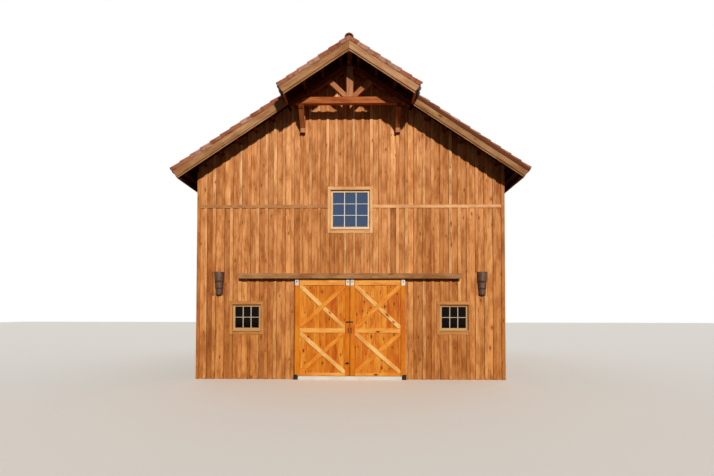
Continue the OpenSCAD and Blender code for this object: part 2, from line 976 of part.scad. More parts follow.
module leaf_frame(upper_rise, lower_rise) {
    x0 = seam;
    x1 = seam + leaf_w;
    in0 = x0 + stile_w + joint_gap;
    in1 = x1 - stile_w - joint_gap;
    mid0 = leaf_z + mid_rail_z - mid_rail / 2;
    mid1 = mid0 + mid_rail;
    along_y(leaf_front, panel_front) {
        translate([x0, leaf_z]) square([stile_w, leaf_h]);
        translate([x1 - stile_w, leaf_z]) square([stile_w, leaf_h]);
        translate([in0, leaf_z]) square([in1 - in0, low_rail]);
        translate([in0, mid0]) square([in1 - in0, mid_rail]);
        translate([in0, leaf_top - top_rail]) square([in1 - in0, top_rail]);
        crossed_braces(leaf_z + low_rail + joint_gap, mid0 - joint_gap, lower_rise);
        crossed_braces(mid1 + joint_gap, leaf_top - top_rail - joint_gap, upper_rise);
    }
}

// A hanger: a plate on the leaf's face, a strap over its top and a trolley of four wheels.
module leaf_hanger(x) {
    strap_w = 2 * (wheel_x + strap_side);
    axle_half = wheel_y + wheel_t;
    translate([x, 0, 0])
        union() {
            box(
                -plate_w / 2, plate_w / 2, leaf_front - plate_t, leaf_front,
                leaf_top - plate_h, leaf_top + plate_t
            );
            box(
                -strap_w / 2, strap_w / 2, leaf_front - plate_t, track_y + strap_t / 2,
                leaf_top, leaf_top + plate_t
            );
            box(
                -strap_w / 2, strap_w / 2, track_y - strap_t / 2, track_y + strap_t / 2,
                leaf_top, wheel_z + 2 * axle_r
            );
            for (wx = [-wheel_x, wheel_x])
                translate([wx, track_y, wheel_z])
                    rotate([90, 0, 0]) {
                        cylinder(r = axle_r, h = 2 * axle_half, center = true);
                        translate([0, 0, wheel_y]) cylinder(r = wheel_r, h = wheel_t);
                        translate([0, 0, -wheel_y - wheel_t]) cylinder(r = wheel_r, h = wheel_t);
                    }
        }
}

module leaf_hangers() {
    leaf_hanger(seam + plate_w / 2 + plate_in);
    leaf_hanger(seam + leaf_w - plate_w / 2 - plate_in);
}

// A flat D-shaped pull handle on a leaf's stile.
module pull_handle() {
    translate([handle_x, 0, 0]) {
        box(
            -handle_t / 2, handle_t / 2, leaf_front - handle_out, leaf_front - handle_out + handle_t,
            handle_z - handle_l / 2, handle_z + handle_l / 2
        );
        for (end = [-1, 1])
            translate([0, 0, handle_z + end * (handle_l - handle_t) / 2])
                box(
                    -handle_t / 2, handle_t / 2, leaf_front - handle_out, leaf_front,
                    -handle_t / 2, handle_t / 2
                );
    }
}

// The bar stands off the leaves on a block that is fixed to the left one.
module latch_bar() {
    latch_y = leaf_front - latch_gap;
    z0 = latch_z - latch_h / 2;
    z1 = latch_z + latch_h / 2;
    box(-latch_l + latch_lap, latch_lap, latch_y - latch_t, latch_y, z0, z1);
    box(-latch_l + latch_lap, -latch_lap / 2, latch_y - latch_t, leaf_front, z0, z1);
}

// A plate with a short upright bolt on it, beside the seam.
module foot_bolt() {
    rod_y = leaf_front - bolt_t - bolt_r / 2;
    x = -seam - bolt_in - bolt_l / 2;
    translate([x, 0, bolt_z]) {
        box(-bolt_l / 2, bolt_l / 2, leaf_front - bolt_t, leaf_front, -bolt_h / 2, bolt_h / 2);
        translate([0, rod_y, -bolt_h]) cylinder(r = bolt_r, h = 2 * bolt_h);
    }
}

module left_door_panel() {
    color("#dd8933") mirror([1, 0, 0]) leaf_panel();
}

// On both leaves the whole board rises to the right in the upper bay and falls in the lower one.
module left_door_frame() {
    color("#d47d19") mirror([1, 0, 0]) leaf_frame(-1, 1);
}

module left_door_hangers() {
    color("#d8d8d4") mirror([1, 0, 0]) leaf_hangers();
}

// Pull handle, latch bar that laps over the other leaf, and foot bolt.
module left_door_fittings() {
    color("#1c1c1e") {
        mirror([1, 0, 0]) pull_handle();
        latch_bar();
        foot_bolt();
    }
}

module right_door_panel() {
    color("#dd8933") leaf_panel();
}

module right_door_frame() {
    color("#d47d19") leaf_frame(1, -1);
}

module right_door_hangers() {
    color("#d8d8d4") leaf_hangers();
}

module right_door_fittings() {
    color("#1c1c1e") pull_handle();
}

floor_slab();
door_sill();
front_wall_left();
front_wall_right();
front_wall_gable();
back_wall();
left_wall();
right_wall();
inner_posts();
inner_tie_beams();
inner_rafters();
inner_king_posts();
ridge_beam();
left_purlins();
right_purlins();
left_roof_deck();
right_roof_deck();
left_roof_tiles();
right_roof_tiles();
ridge_tiles();
front_rake_boards();
back_rake_boards();
eave_boards();
hood_rake_boards();
hood_eave_boards();
hood_top_chords();
hood_tie_beam();
hood_king_post();
hood_struts();
bracket_posts();
bracket_beams();
bracket_braces();
corner_boards();
siding_bands();
loft_window_frame();
loft_window_glass();
front_window_frames();
front_window_glass();
side_window_frames();
side_window_glass();
back_window_frames();
back_window_glass();
track_board();
door_track();
track_cover();
door_guides();
lanterns();
left_door_panel();
left_door_frame();
left_door_hangers();
left_door_fittings();
right_door_panel();
right_door_frame();
right_door_hangers();
right_door_fittings();
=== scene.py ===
import json
import random
from functools import partial
from math import ceil, copysign, cos, pi, radians, sin, tan, tau

import bmesh
import bpy
from mathutils import Matrix, Vector


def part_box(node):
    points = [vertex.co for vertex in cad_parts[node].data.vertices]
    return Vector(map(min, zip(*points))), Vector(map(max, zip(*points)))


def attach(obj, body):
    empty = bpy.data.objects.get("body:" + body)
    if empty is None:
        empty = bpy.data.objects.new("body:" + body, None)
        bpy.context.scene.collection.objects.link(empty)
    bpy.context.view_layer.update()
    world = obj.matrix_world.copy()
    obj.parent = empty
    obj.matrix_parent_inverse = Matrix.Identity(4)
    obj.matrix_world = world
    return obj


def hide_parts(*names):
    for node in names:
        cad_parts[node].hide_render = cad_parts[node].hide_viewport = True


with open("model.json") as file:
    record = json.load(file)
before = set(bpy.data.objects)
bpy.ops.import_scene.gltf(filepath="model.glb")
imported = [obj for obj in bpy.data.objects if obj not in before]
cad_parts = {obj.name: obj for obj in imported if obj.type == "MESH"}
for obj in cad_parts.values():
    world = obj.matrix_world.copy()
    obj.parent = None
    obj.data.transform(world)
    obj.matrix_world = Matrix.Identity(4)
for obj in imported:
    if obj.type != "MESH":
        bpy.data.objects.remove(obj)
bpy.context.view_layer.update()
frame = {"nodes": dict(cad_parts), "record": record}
nodes = frame["nodes"]
bodyOf = {name: body for body, names in frame["record"]["behaviour"]["bodies"].items() for name in names}

# Lengths are metres. The origin is on the ground under the middle of the walls' plan.
roof = dict(angle=33.69, purlinDepth=0.14, seat=0.0003, deck=0.04, tiles=0.115)
slope = radians(roof["angle"])
deckTop = roof["purlinDepth"] + roof["seat"] + roof["deck"]
tileLow = deckTop + roof["seat"]
tileTop = deckTop + roof["tiles"]
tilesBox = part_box("right_roof_tiles")
peakZ = tilesBox[1].z - tileTop / cos(slope)
roofEnd = (peakZ + tileLow * cos(slope) - tilesBox[0].z) / sin(slope)


# Meshes

# How near counts as touching or as one corner, the angles in degrees under which faces are one face
# and over which an edge is eased, and the cosine over which a direction counts as square.
limits = dict(touch=0.001, weld=0.00001, flat=0.3, crease=25, square=0.99)
# How square to the board a cut end is, and how far apart on the pattern two boards may lie.
grain = dict(endFrom=0.8, shift=9)


def paintFaces(verts, index):
    for face in {f for v in verts for f in v.link_faces}:
        face.material_index = index


def addBox(bm, low, high, place=Matrix(), index=0):
    size = Vector(high) - Vector(low)
    middle = (Vector(high) + Vector(low)) / 2
    shape = place @ Matrix.Translation(middle) @ Matrix.Diagonal((*size, 1))
    verts = bmesh.ops.create_cube(bm, size=1, matrix=shape)["verts"]
    paintFaces(verts, index)
    return verts


def stampMesh(bm, mesh, place):
    mesh.transform(place)
    bm.from_mesh(mesh)
    mesh.transform(place.inverted())


def keepMesh(bm, name):
    mesh = bpy.data.meshes.new(name)
    bm.to_mesh(mesh)
    bm.free()
    return mesh


def softenEdges(bm, width, segments=2):
    crease = radians(limits["crease"])
    sharp = [e for e in bm.edges if len(e.link_faces) == 2 and e.calc_face_angle() > crease]
    bmesh.ops.bevel(
        bm, geom=sharp, offset=width, offset_type="OFFSET", segments=segments,
        profile=0.5, affect="EDGES", material=-1, clamp_overlap=True)


def copyNode(name):
    bm = bmesh.new()
    bm.from_mesh(nodes[name].data)
    bmesh.ops.remove_doubles(bm, verts=bm.verts, dist=limits["weld"])
    bmesh.ops.dissolve_limit(bm, angle_limit=radians(limits["flat"]), verts=bm.verts, edges=bm.edges)
    return bm


def findSolids(bm):
    seen = set()
    solids = []
    for first in bm.faces:
        if first in seen:
            continue
        seen.add(first)
        solid = [first]
        for face in solid:
            for edge in face.edges:
                for other in edge.link_faces:
                    if other not in seen:
                        seen.add(other)
                        solid.append(other)
        solids.append(solid)
    return solids


def boxOf(points):
    return [Vector([pick(p[i] for p in points) for i in range(3)]) for pick in (min, max)]


def solidBoxes(name, place=Matrix()):
    bm = copyNode(name)
    bmesh.ops.transform(bm, matrix=place, verts=bm.verts)
    boxes = [boxOf([v.co for f in solid for v in f.verts]) for solid in findSolids(bm)]
    bm.free()
    return boxes


def closeHoles(bm):
    bmesh.ops.holes_fill(bm, edges=[e for e in bm.edges if e.is_boundary], sides=0)


def cutGap(bm, point, across, gap, near=lambda co: True):
    # Saws the boards apart where near() holds for all of an edge or face.
    point = Vector(point)
    across = Vector(across).normalized()
    for side in (-1, 1):
        parts = [v for v in bm.verts if near(v.co)]
        for group in (bm.edges, bm.faces):
            parts += [part for part in group if all(near(v.co) for v in part.verts)]
        bmesh.ops.bisect_plane(bm, geom=parts, plane_co=point + across * side * gap / 2, plane_no=across)
    kerf = []
    for face in bm.faces:
        middle = face.calc_center_median()
        if near(middle) and abs((middle - point).dot(across)) < gap / 2 - limits["weld"]:
            kerf.append(face)
    bmesh.ops.delete(bm, geom=kerf, context="FACES")
    closeHoles(bm)


def cutAway(bm, point, across):
    # Keeps what lies on the side that across points to.
    bmesh.ops.bisect_plane(
        bm, geom=[*bm.verts, *bm.edges, *bm.faces], plane_co=point, plane_no=across, clear_inner=True)


def turnOut(bm):
    bmesh.ops.recalc_face_normals(bm, faces=bm.faces)


def makeShell(bm, thick):
    # Turns a sheet's outer side up, and backs it.
    turnOut(bm)
    if sum(f.normal.z * f.calc_area() for f in bm.faces) < 0:
        bmesh.ops.reverse_faces(bm, faces=bm.faces)
    bmesh.ops.solidify(bm, geom=bm.faces[:], thickness=thick)
    turnOut(bm)


def layGrain(bm, seed, toneOf=None):
    # Each board gets a UV map in metres that runs with its longest edge, and a tone of its own.
    uv = bm.loops.layers.uv.new("grain")
    tone = bm.faces.layers.float.new("tone")
    cut = bm.faces.layers.float.new("cut")
    chance = random.Random(seed)
    for board in findSolids(bm):
        edges = dict.fromkeys(e for f in board for e in f.edges)
        longest = max(edges, key=lambda e: e.calc_length())
        along = (longest.verts[1].co - longest.verts[0].co).normalized()
        side = along.orthogonal().normalized()
        shift = Vector((chance.uniform(0, grain["shift"]), chance.uniform(0, grain["shift"])))
        shade = chance.random()
        if toneOf:
            shade = toneOf(along, boxOf([v.co for f in board for v in f.verts]), shade)
        for face in board:
            isEnd = abs(along.dot(face.normal)) > grain["endFrom"]
            first = side if isEnd else along
            second = along.cross(first if isEnd else face.normal).normalized()
            face[tone] = shade
            face[cut] = float(isEnd)
            for loop in face.loops:
                loop[uv].uv = Vector((loop.vert.co.dot(first), loop.vert.co.dot(second))) + shift


def setTones(bm, seed):
    tone = bm.faces.layers.float.new("tone")
    chance = random.Random(seed)
    for solid in findSolids(bm):
        shade = chance.random()
        for face in solid:
            face[tone] = shade


def addObject(name, data):
    made = bpy.data.objects.new(name, data)
    bpy.context.scene.collection.objects.link(made)
    return made


def addPiece(bm, name, materials, body="barn", stands=(), smoothAngle=None):
    mesh = keepMesh(bm, name)
    for material in materials:
        mesh.materials.append(material)
    if smoothAngle:
        mesh.shade_smooth()
        mesh.set_sharp_from_angle(angle=radians(smoothAngle))
    piece = addObject(name, mesh)
    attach(piece, body)
    if stands:
        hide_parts(*stands)


def replaceNode(bm, node, materials, name=None, smoothAngle=None):
    # The piece stands where one CAD node was, and is named for it unless it has a name of its own.
    first, *others = node.split("_")
    name = name or first + "".join(word.capitalize() for word in others)
    addPiece(bm, name, materials, bodyOf[node], [node], smoothAngle)


def easeNode(node, material, edge, segments=2, reshape=None, grained=None, smoothAngle=None):
    # A CAD node's own solids with eased edges. A wood also has its seed and rule for layGrain.
    bm = copyNode(node)
    if reshape:
        reshape(bm)
    softenEdges(bm, edge, segments)
    if grained:
        layGrain(bm, *grained)
    replaceNode(bm, node, [material], smoothAngle=smoothAngle)


def paintNodes(material, *names):
    for name in names:
        nodes[name].data.materials.clear()
        nodes[name].data.materials.append(material)


# Materials

def linearColour(text):
    parts = [int(text[i:i + 2], 16) / 255 for i in (1, 3, 5)]
    return [p / 12.92 if p <= 0.04045 else ((p + 0.055) / 1.055) ** 2.4 for p in parts] + [1]


def addNode(tree, kind, inputs=None, **settings):
    # A node that is given as an input is linked by its first output. Text is a colour.
    made = tree.nodes.new("ShaderNode" + kind)
    for name, value in settings.items():
        setattr(made, name, value)
    for name, value in (inputs or {}).items():
        if isinstance(value, bpy.types.Node):
            value = value.outputs[0]
        if isinstance(value, str):
            value = linearColour(value)
        if isinstance(value, bpy.types.NodeSocket):
            tree.links.new(value, made.inputs[name])
        else:
            made.inputs[name].default_value = value
    return made


def newMaterial(name):
    material = bpy.data.materials.new(name)
    material.use_nodes = True
    material.node_tree.nodes.clear()
    return material, partial(addNode, material.node_tree)


def closeMaterial(material, add, skin):
    add("OutputMaterial", {0: add("BsdfPrincipled", skin)})
    return material


def setRamp(ramp, stops):
    elements = ramp.color_ramp.elements
    while len(elements) > 1:
        elements.remove(elements[-1])
    for i, (place, colour) in enumerate(stops):
        element = elements[0] if i == 0 else elements.new(place)
        element.position = place
        element.color = linearColour(colour)
    return ramp


multiplied = dict(data_type="RGBA", blend_type="MULTIPLY")


def placeOnBoards(add):
    # For pieces that carry the "grain" map: the place on the board, its tone, and its cut ends.
    tone, cut = [add("Attribute", attribute_name=name).outputs["Fac"] for name in ("tone", "cut")]
    return add("UVMap", uv_map="grain"), tone, cut, None


# How far apart on the pattern two planks may lie, and how many numbers the upper planks are ahead.
plank = dict(slide=17, ahead=211)


def placeOnPlanks(add, along, across, pitch, phase, lineAt, lineWide, splitAt=None, turned=None):
    # For plain CAD faces: object coordinates are cut into planks of one pitch, with dark lines at
    # one distance from the planks' joints. On the walls the lines lie beside the battens' edges and
    # are painted shade from the battens; on the roof planks they are the joints' dark grooves.
    split = add("SeparateXYZ", {0: add("TexCoord").outputs["Object"]}).outputs
    shifted = add("Math", {0: split[across], 1: phase}, operation="SUBTRACT")
    if turned:
        # The end faces of a wall lie at one reach from the middle. Their planks run by another axis.
        otherAxis, otherPhase, reach = turned
        other = add("Math", {0: split[otherAxis], 1: otherPhase}, operation="SUBTRACT")
        away = add("Math", {0: split[across]}, operation="ABSOLUTE")
        isEnd = add("Math", {0: away, 1: reach - limits["touch"]}, operation="GREATER_THAN")
        shifted = add("Mix", {0: isEnd, 2: shifted, 3: other}, data_type="FLOAT")
    counted = add("Math", {0: shifted, 1: pitch}, operation="DIVIDE")
    number = add("Math", {0: counted}, operation="FLOOR")
    if splitAt:
        # The boards above this height are other boards than those below it.
        upper = add("Math", {0: split[along], 1: splitAt}, operation="GREATER_THAN")
        number = add("Math", {0: upper, 1: plank["ahead"], 2: number}, operation="MULTIPLY_ADD")
    tone = add("TexWhiteNoise", {"W": number}, noise_dimensions="1D").outputs["Value"]
    slide = add("Math", {0: tone, 1: plank["slide"], 2: split[along]}, operation="MULTIPLY_ADD")
    inPitch = add("Math", {0: counted}, operation="FRACT")
    fromSeam = add("Math", {0: inPitch, 1: 0.5}, operation="PINGPONG")
    line = add("Math", {0: fromSeam, 1: lineAt / pitch, 2: lineWide / 2 / pitch}, operation="COMPARE")
    return add("CombineXYZ", {0: slide, 1: shifted}), tone, None, line


# What all woods share: how the rings bend, where on their patterns the shades of the fibres and the
# stain lie, how far out the halo and the knot begin, where they are full and how strong they are,
# the size that stands for no knot, and over which range the wood grows smoother and by how much.
wood = dict(
    warp=(1.1, 3.0, 1), bend=6, fibres=(0.34, 0.5, 0.62), stain=(0.36, 0.58), halo=(2.3, 0.8, 0.6),
    knot=(1.0, 0.45, 1.0), noKnot=0.0001, drift=(0.3, 0.7, 0.08, 0.06))


def makeWood(name, look, **planks):
    # Each board's own colour, darkened by its fibres, streaks, rings, patches of stain and knots.
    material, add = newMaterial(name)
    place, tone, cut, seam = placeOnPlanks(add, **planks) if planks else placeOnBoards(add)
    noises = {}
    for layer in ("fibre", "streak", "patch"):
        stretched = add("VectorMath", {0: place, 1: look[layer]}, operation="DIVIDE")
        noises[layer] = add("TexNoise", {
            "Vector": stretched, "Scale": 1.0, "Detail": 4.0, "Roughness": 0.6})
    bowed = add("VectorMath", {0: place, 1: wood["warp"]}, operation="MULTIPLY")
    warp = add("TexNoise", {"Vector": bowed, "Scale": 1.0, "Detail": 1.0}).outputs["Color"]
    bent = add("VectorMath", {0: warp, 1: (0, look["ring"] * wood["bend"], 0), 2: place},
        operation="MULTIPLY_ADD")
    # The wave node repeats each tau / 20 of its input.
    rings = add("TexWave", {
            "Vector": bent, "Scale": tau / 20 / look["ring"], "Distortion": 1.2,
            "Detail": 2.0, "Detail Scale": 0.8},
        wave_type="BANDS", bands_direction="Y", wave_profile="SAW").outputs["Fac"]
    mixed = add("Mix", {0: look["streaky"], 2: noises["fibre"], 3: noises["streak"]}, data_type="FLOAT")
    mixed = add("Mix", {0: look["ringed"], 2: mixed, 3: rings}, data_type="FLOAT")
    colour = setRamp(add("ValToRGB", {0: tone}), look["boards"])
    for noise, places, shades in (
            (mixed, wood["fibres"], (look["deep"], look["even"], "#ffffff")),
            (noises["patch"], wood["stain"], (look["stain"], "#ffffff"))):
        layer = setRamp(add("ValToRGB", {0: noise}), zip(places, shades))
        colour = add("Mix", {0: 1.0, 6: colour, 7: layer}, **multiplied).outputs[2]

    spread = add("VectorMath", {0: place, 1: (look["knotApart"], look["knotRow"], 1)}, operation="DIVIDE")
    cell = add("TexVoronoi", {"Vector": spread, "Scale": 1.0, "Randomness": 0.9},
        voronoi_dimensions="2D", feature="F1").outputs
    size = add("MapRange", {
        0: add("SeparateColor", {0: cell["Color"]}), 1: 1 - look["knotShare"], 2: 1.0,
        3: wood["noKnot"], 4: look["knotSize"]})
    depth = add("Math", {0: cell["Distance"], 1: size}, operation="DIVIDE")
    for part in ("halo", "knot"):
        outer, inner, strength = wood[part]
        share = add("MapRange", {0: depth, 1: outer, 2: inner, 3: 0.0, 4: strength},
            interpolation_type="SMOOTHSTEP")
        colour = add("Mix", {0: share, 6: colour, 7: look[part]}, data_type="RGBA").outputs[2]
    if cut:
        colour = add("Mix", {0: cut, 6: colour, 7: look["endGrain"]}, **multiplied).outputs[2]
    if "lowShade" in look:
        # Boards near the ground keep more of their stain than those that the sun reaches all day.
        height = add("SeparateXYZ", {0: add("TexCoord").outputs["Object"]}).outputs[2]
        low = add("MapRange", {0: height, 1: look["lowTo"], 2: look["lowFrom"], 3: 0.0, 4: 1.0})
        colour = add("Mix", {0: low, 6: colour, 7: look["lowShade"]}, **multiplied).outputs[2]
    # Lines of painted shade beside the battens on the walls, and dark grooves between the roof planks.
    if seam:
        colour = add("Mix", {0: seam, 6: colour, 7: look["seam"]}, data_type="RGBA").outputs[2]

    low, high, rougher, smoother = wood["drift"]
    rough = add("MapRange", {
        0: mixed, 1: low, 2: high, 3: look["rough"] + rougher, 4: look["rough"] - smoother})
    bump = add("Bump", {"Height": noises["fibre"], "Distance": look["relief"]})
    return closeMaterial(material, add, {
        "Base Color": colour, "Roughness": rough, "Normal": bump, "IOR": 1.5,
        "Specular IOR Level": look["gloss"]})


# Sawn cedar under an oil stain: boards that took the stain unevenly, long streaks and red-brown knots.
# Each pattern's size along and across the board is in metres.
cedar = dict(
    boards=[(0, "#ca8855"), (0.15, "#ecab74"), (0.3, "#d89762"), (0.5, "#f3b37b"), (0.65, "#d3915d"),
            (0.8, "#f9b981"), (1, "#ffc289")],
    deep="#bda48f", even="#f8f1e5", stain="#cfb9a2", patch=(0.7, 0.22, 1), gloss=0.12,
    # The lines' colour is painted shade beside the battens on the walls.
    halo="#b87840", knot="#8e5430", endGrain="#b09478", seam="#4a2a14",
    fibre=(0.25, 0.012, 1), streak=(1.6, 0.06, 1), streaky=0.5, ring=0.05, ringed=0.1,
    knotApart=0.62, knotRow=0.26, knotShare=0.4, knotSize=0.12, rough=0.74, relief=0.0012)
siding = dict(cedar, lowShade="#e3d5b5", lowFrom=0.8, lowTo=7.4)

battens = dict(
    pitch=0.26, width=0.089, thick=0.025, frontPhase=0.1075, sidePhase=0.0, edge=0.004, clear=0.003,
    foot=0.015, line=0.008, shortest=0.03, seed=11)
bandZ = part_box("siding_bands")[0].z
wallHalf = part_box("right_wall")[1].x
# The walls' dark lines, just beside each batten's edges, are painted shade from the battens.
wallPlanks = dict(
    along=2, pitch=battens["pitch"], lineAt=(battens["width"] + battens["line"]) / 2,
    lineWide=battens["line"], splitAt=bandZ)
sidingEnds = makeWood(
    "cedarBoardSawnStained", siding, across=0, phase=battens["frontPhase"],
    turned=(1, battens["sidePhase"], wallHalf), **wallPlanks)
sidingSides = makeWood(
    "cedarSideBoardSawnStained", siding, across=1, phase=battens["sidePhase"], **wallPlanks)
battenWood = makeWood("cedarBattenSawnStained", dict(siding, boards=[
    (0, "#d19357"), (0.25, "#f4b47d"), (0.5, "#e2a36c"), (0.75, "#ffcd9c"), (1, "#f7b983")]))

# Trim of the same cedar, planed before it was stained: smoother, and paler where less stain went in.
trimWood = makeWood("cedarTrimPlanedStained", dict(
    cedar, boards=[(0, "#be8a5e"), (1, "#fcc796")], stain="#e4d6c8", rough=0.6, relief=0.0006,
    knotShare=0.2))

# Rake boards and the track's cover face the weather, which has greyed their stain to a dull tan.
rakeWood = makeWood("cedarRakeBoardWeathered", dict(
    cedar, boards=[(0, "#aa805b"), (0.5, "#ba906a"), (1, "#cea480")], deep="#b39a80",
    stain="#d8c8b8", halo="#8a5f38", knot="#5a3d22", knotShare=0.25, rough=0.78))
coverWood = makeWood("cedarCoverBoardWeathered", dict(
    cedar, boards=[(0, "#a77c56"), (1, "#bc926a")], halo="#7a4e2c", knotShare=0.2, rough=0.8))

# Heavy sawn fir under a red-brown stain, with few knots. Purlins and top chords are darker still, as
# painted shade under the roof. The inner frames are planed and pale.
timber = dict(
    cedar, boards=[(0, "#b86734"), (0.5, "#c07647"), (1, "#ce9978")], deep="#b09078",
    stain="#d8c0ac", gloss=0.1, knotShare=0.2, rough=0.68)
hoodTimber = makeWood("firTimberSawnStained", timber)
frameTimber = makeWood("firTimberPlaned", dict(timber, boards=[(0, "#b8885a"), (1, "#cda274")], rough=0.62))
purlinWood = makeWood("firPurlinStainedPaintedShade", dict(timber, boards=[(0, "#5c2c14"), (1, "#6c3a20")]))
chordWood = makeWood("firChordStainedPaintedShade", dict(timber, boards=[(0, "#7e401e"), (1, "#8e4e2a")]))

# Roof planks: grooved fir under the timber's stain, darkened much further as painted shade of the soffit.
roofPlanks = dict(along=0, across=1, pitch=0.14, phase=0, lineAt=0, lineWide=0.004)
plankWood = makeWood("firRoofPlankStainedPaintedShade", dict(
    timber, boards=[(0, "#3a1d0c"), (0.5, "#462412"), (1, "#502c18")], seam="#140a04"), **roofPlanks)

# Sashes: clear pine, planed, under a pale stain. The bars' cream paint has yellowed on most, and the
# casings are cedar.
sashWood = makeWood("pineSashPlanedStained", dict(
    cedar, boards=[(0, "#c8a375"), (0.35, "#cfac82"), (0.8, "#f0d6bb"), (1, "#f8e4d0")],
    deep="#e0d0c0", stain="#f2e8de", knotShare=0.02, rough=0.5, relief=0.0004))
barPaint = makeWood("pineBarPaintedCream", dict(
    cedar, boards=[(0, "#dcc2a4"), (0.4, "#e2ccb6"), (0.8, "#f6f4fa")], deep="#ece8e6",
    even="#f8f6f6", stain="#f4f2f2", knotShare=0.0, rough=0.4, relief=0.0002))
casingWood = makeWood("cedarCasingPlanedStained", dict(
    cedar, boards=[(0, "#c78a4d"), (0.4, "#d4985a"), (0.7, "#ebb77e"), (1, "#f7c993")],
    stain="#e8dccf", knotShare=0.12, rough=0.58, relief=0.0006))

# Knotty pine under a glossy amber oil: bright boards, clear rings and many dark knots.
doorLook = dict(
    cedar, boards=[(0, "#d6841c"), (0.3, "#e29328"), (0.6, "#eba232"), (1, "#f2b044")],
    deep="#c68c50", even="#f4e6d6", stain="#e6b478", gloss=0.15, halo="#bf5f12", knot="#4e2408",
    endGrain="#c8a070", fibre=(0.2, 0.01, 1), streak=(1.0, 0.045, 1), ring=0.024, ringed=0.26,
    knotApart=0.3, knotRow=0.13, knotShare=0.55, knotSize=0.22, rough=0.46, relief=0.0006)
doorBoards = makeWood("pineBoardKnottyOiled", doorLook)
doorFrameWood = makeWood("pineFrameBoardOiled", dict(
    doorLook, boards=[(0, "#e08a14"), (0.3, "#ec9e2e"), (0.6, "#fab64c"), (1, "#ffe49e")],
    deep="#d4a878", stain="#ecc49c", knotShare=0.14))

# Fired clay: each tile leaves the kiln in its own shade, with cloudy patches and fine grit.
clay = dict(
    tones=[(0, "#925239"), (0.3, "#a6694d"), (0.6, "#b07c64"), (0.85, "#bc917e"), (1, "#9b5d42")],
    clouds=[(0.3, "#b9a396"), (0.55, "#ffffff"), (0.75, "#fff4ea")], cloud=0.12, cloudy=0.8,
    grit=0.006, apart=31.0, rough=0.82, relief=0.0015)


def makeClay(name):
    material, add = newMaterial(name)
    tone = add("Attribute", attribute_name="tone").outputs["Fac"]
    far = add("Math", {0: tone, 1: clay["apart"]}, operation="MULTIPLY")
    moved = add("VectorMath", {
        0: add("TexCoord").outputs["Object"], 1: add("CombineXYZ", {2: far})}, operation="ADD")
    cloud = add("TexNoise", {"Vector": moved, "Scale": 1 / clay["cloud"], "Detail": 4.0})
    grit = add("TexNoise", {"Vector": moved, "Scale": 1 / clay["grit"], "Detail": 2.0})
    shade = setRamp(add("ValToRGB", {0: tone}), clay["tones"])
    patch = setRamp(add("ValToRGB", {0: cloud}), clay["clouds"])
    colour = add("Mix", {0: clay["cloudy"], 6: shade, 7: patch}, **multiplied).outputs[2]
    bump = add("Bump", {"Height": grit, "Strength": 0.7, "Distance": clay["relief"]})
    return closeMaterial(material, add, {
        "Base Color": colour, "Roughness": clay["rough"], "Normal": bump, "IOR": 1.5,
        "Specular IOR Level": 0.2})


clayTile = makeClay("terracottaUnglazedFired")


def makeStone(name, dark, light, cloudSize, relief, sand=0.004):
    # Cement paste with sand: faint clouds from curing and fine grit.
    material, add = newMaterial(name)
    place = add("TexCoord").outputs["Object"]
    cloud = add("TexNoise", {"Vector": place, "Scale": 1 / cloudSize, "Detail": 5.0})
    grit = add("TexNoise", {"Vector": place, "Scale": 1 / sand, "Detail": 3.0})
    both = add("Mix", {0: 0.35, 2: cloud, 3: grit}, data_type="FLOAT")
    colour = setRamp(add("ValToRGB", {0: both}), [(0.3, dark), (0.7, light)])
    bump = add("Bump", {"Height": grit, "Strength": 0.8, "Distance": relief})
    return closeMaterial(material, add, {
        "Base Color": colour, "Roughness": 0.88, "Normal": bump, "IOR": 1.5})


concrete = makeStone("concreteTrowelled", "#cdc8c1", "#ebe7e1", cloudSize=0.6, relief=0.0008)
mortar = makeStone("mortarTinted", "#6e4c3c", "#8a6450", cloudSize=0.1, relief=0.002)
# Mortar for the ridge's end plugs, darkened as painted shade inside the caps.
plugMortar = makeStone("mortarPaintedShade", "#2e1a14", "#4a2e24", cloudSize=0.05, relief=0.002)


def makeMetal(name, look):
    # A metal or paint skin whose roughness and colour drift in patches of one size.
    material, add = newMaterial(name)
    pattern = add(look["pattern"], {
        "Vector": add("TexCoord").outputs["Object"], "Scale": 1 / look["patch"]})
    colour = setRamp(add("ValToRGB", {0: pattern}), [(0.25, look["dark"]), (0.7, look["light"])])
    drift = 0.08
    rough = add("MapRange", {
        0: pattern, 1: 0.2, 2: 0.8, 3: look["rough"] - drift, 4: look["rough"] + drift})
    bump = add("Bump", {"Height": pattern, "Strength": 0.5, "Distance": look["relief"]})
    return closeMaterial(material, add, {
        "Base Color": colour, "Metallic": look["metallic"], "Roughness": rough, "Normal": bump,
        "Specular IOR Level": look.get("gloss", 0.5)})


# Hot dipped zinc: pale, with crystal patches a finger's width across.
zinc = makeMetal("steelHotDippedZinc", dict(
    pattern="TexVoronoi", patch=0.014, dark="#aeada6", light="#d2d0c8", metallic=0.3, rough=0.46,
    relief=0.0002))
# Black powder coat on bent steel: even, with a fine texture.
blackSteel = makeMetal("steelPowderCoatedBlack", dict(
    pattern="TexNoise", patch=0.003, dark="#0e0e0f", light="#1c1d1f", metallic=0.0, rough=0.6,
    gloss=0.25, relief=0.0003))
# Sheet steel with a dark bronze finish, hammered in shallow dimples.
bronze = makeMetal("steelHammeredBronzeFinish", dict(
    pattern="TexVoronoi", patch=0.022, dark="#3c2a20", light="#6e5141", metallic=0.35, rough=0.5,
    relief=0.0015))
# Coil-coated sheet in a brown that weather has dulled.
brownSheet = makeMetal("steelSheetCoatedBrown", dict(
    pattern="TexNoise", patch=0.09, dark="#542a14", light="#6e3e22", metallic=0.0, rough=0.65,
    gloss=0.1, relief=0.0002))


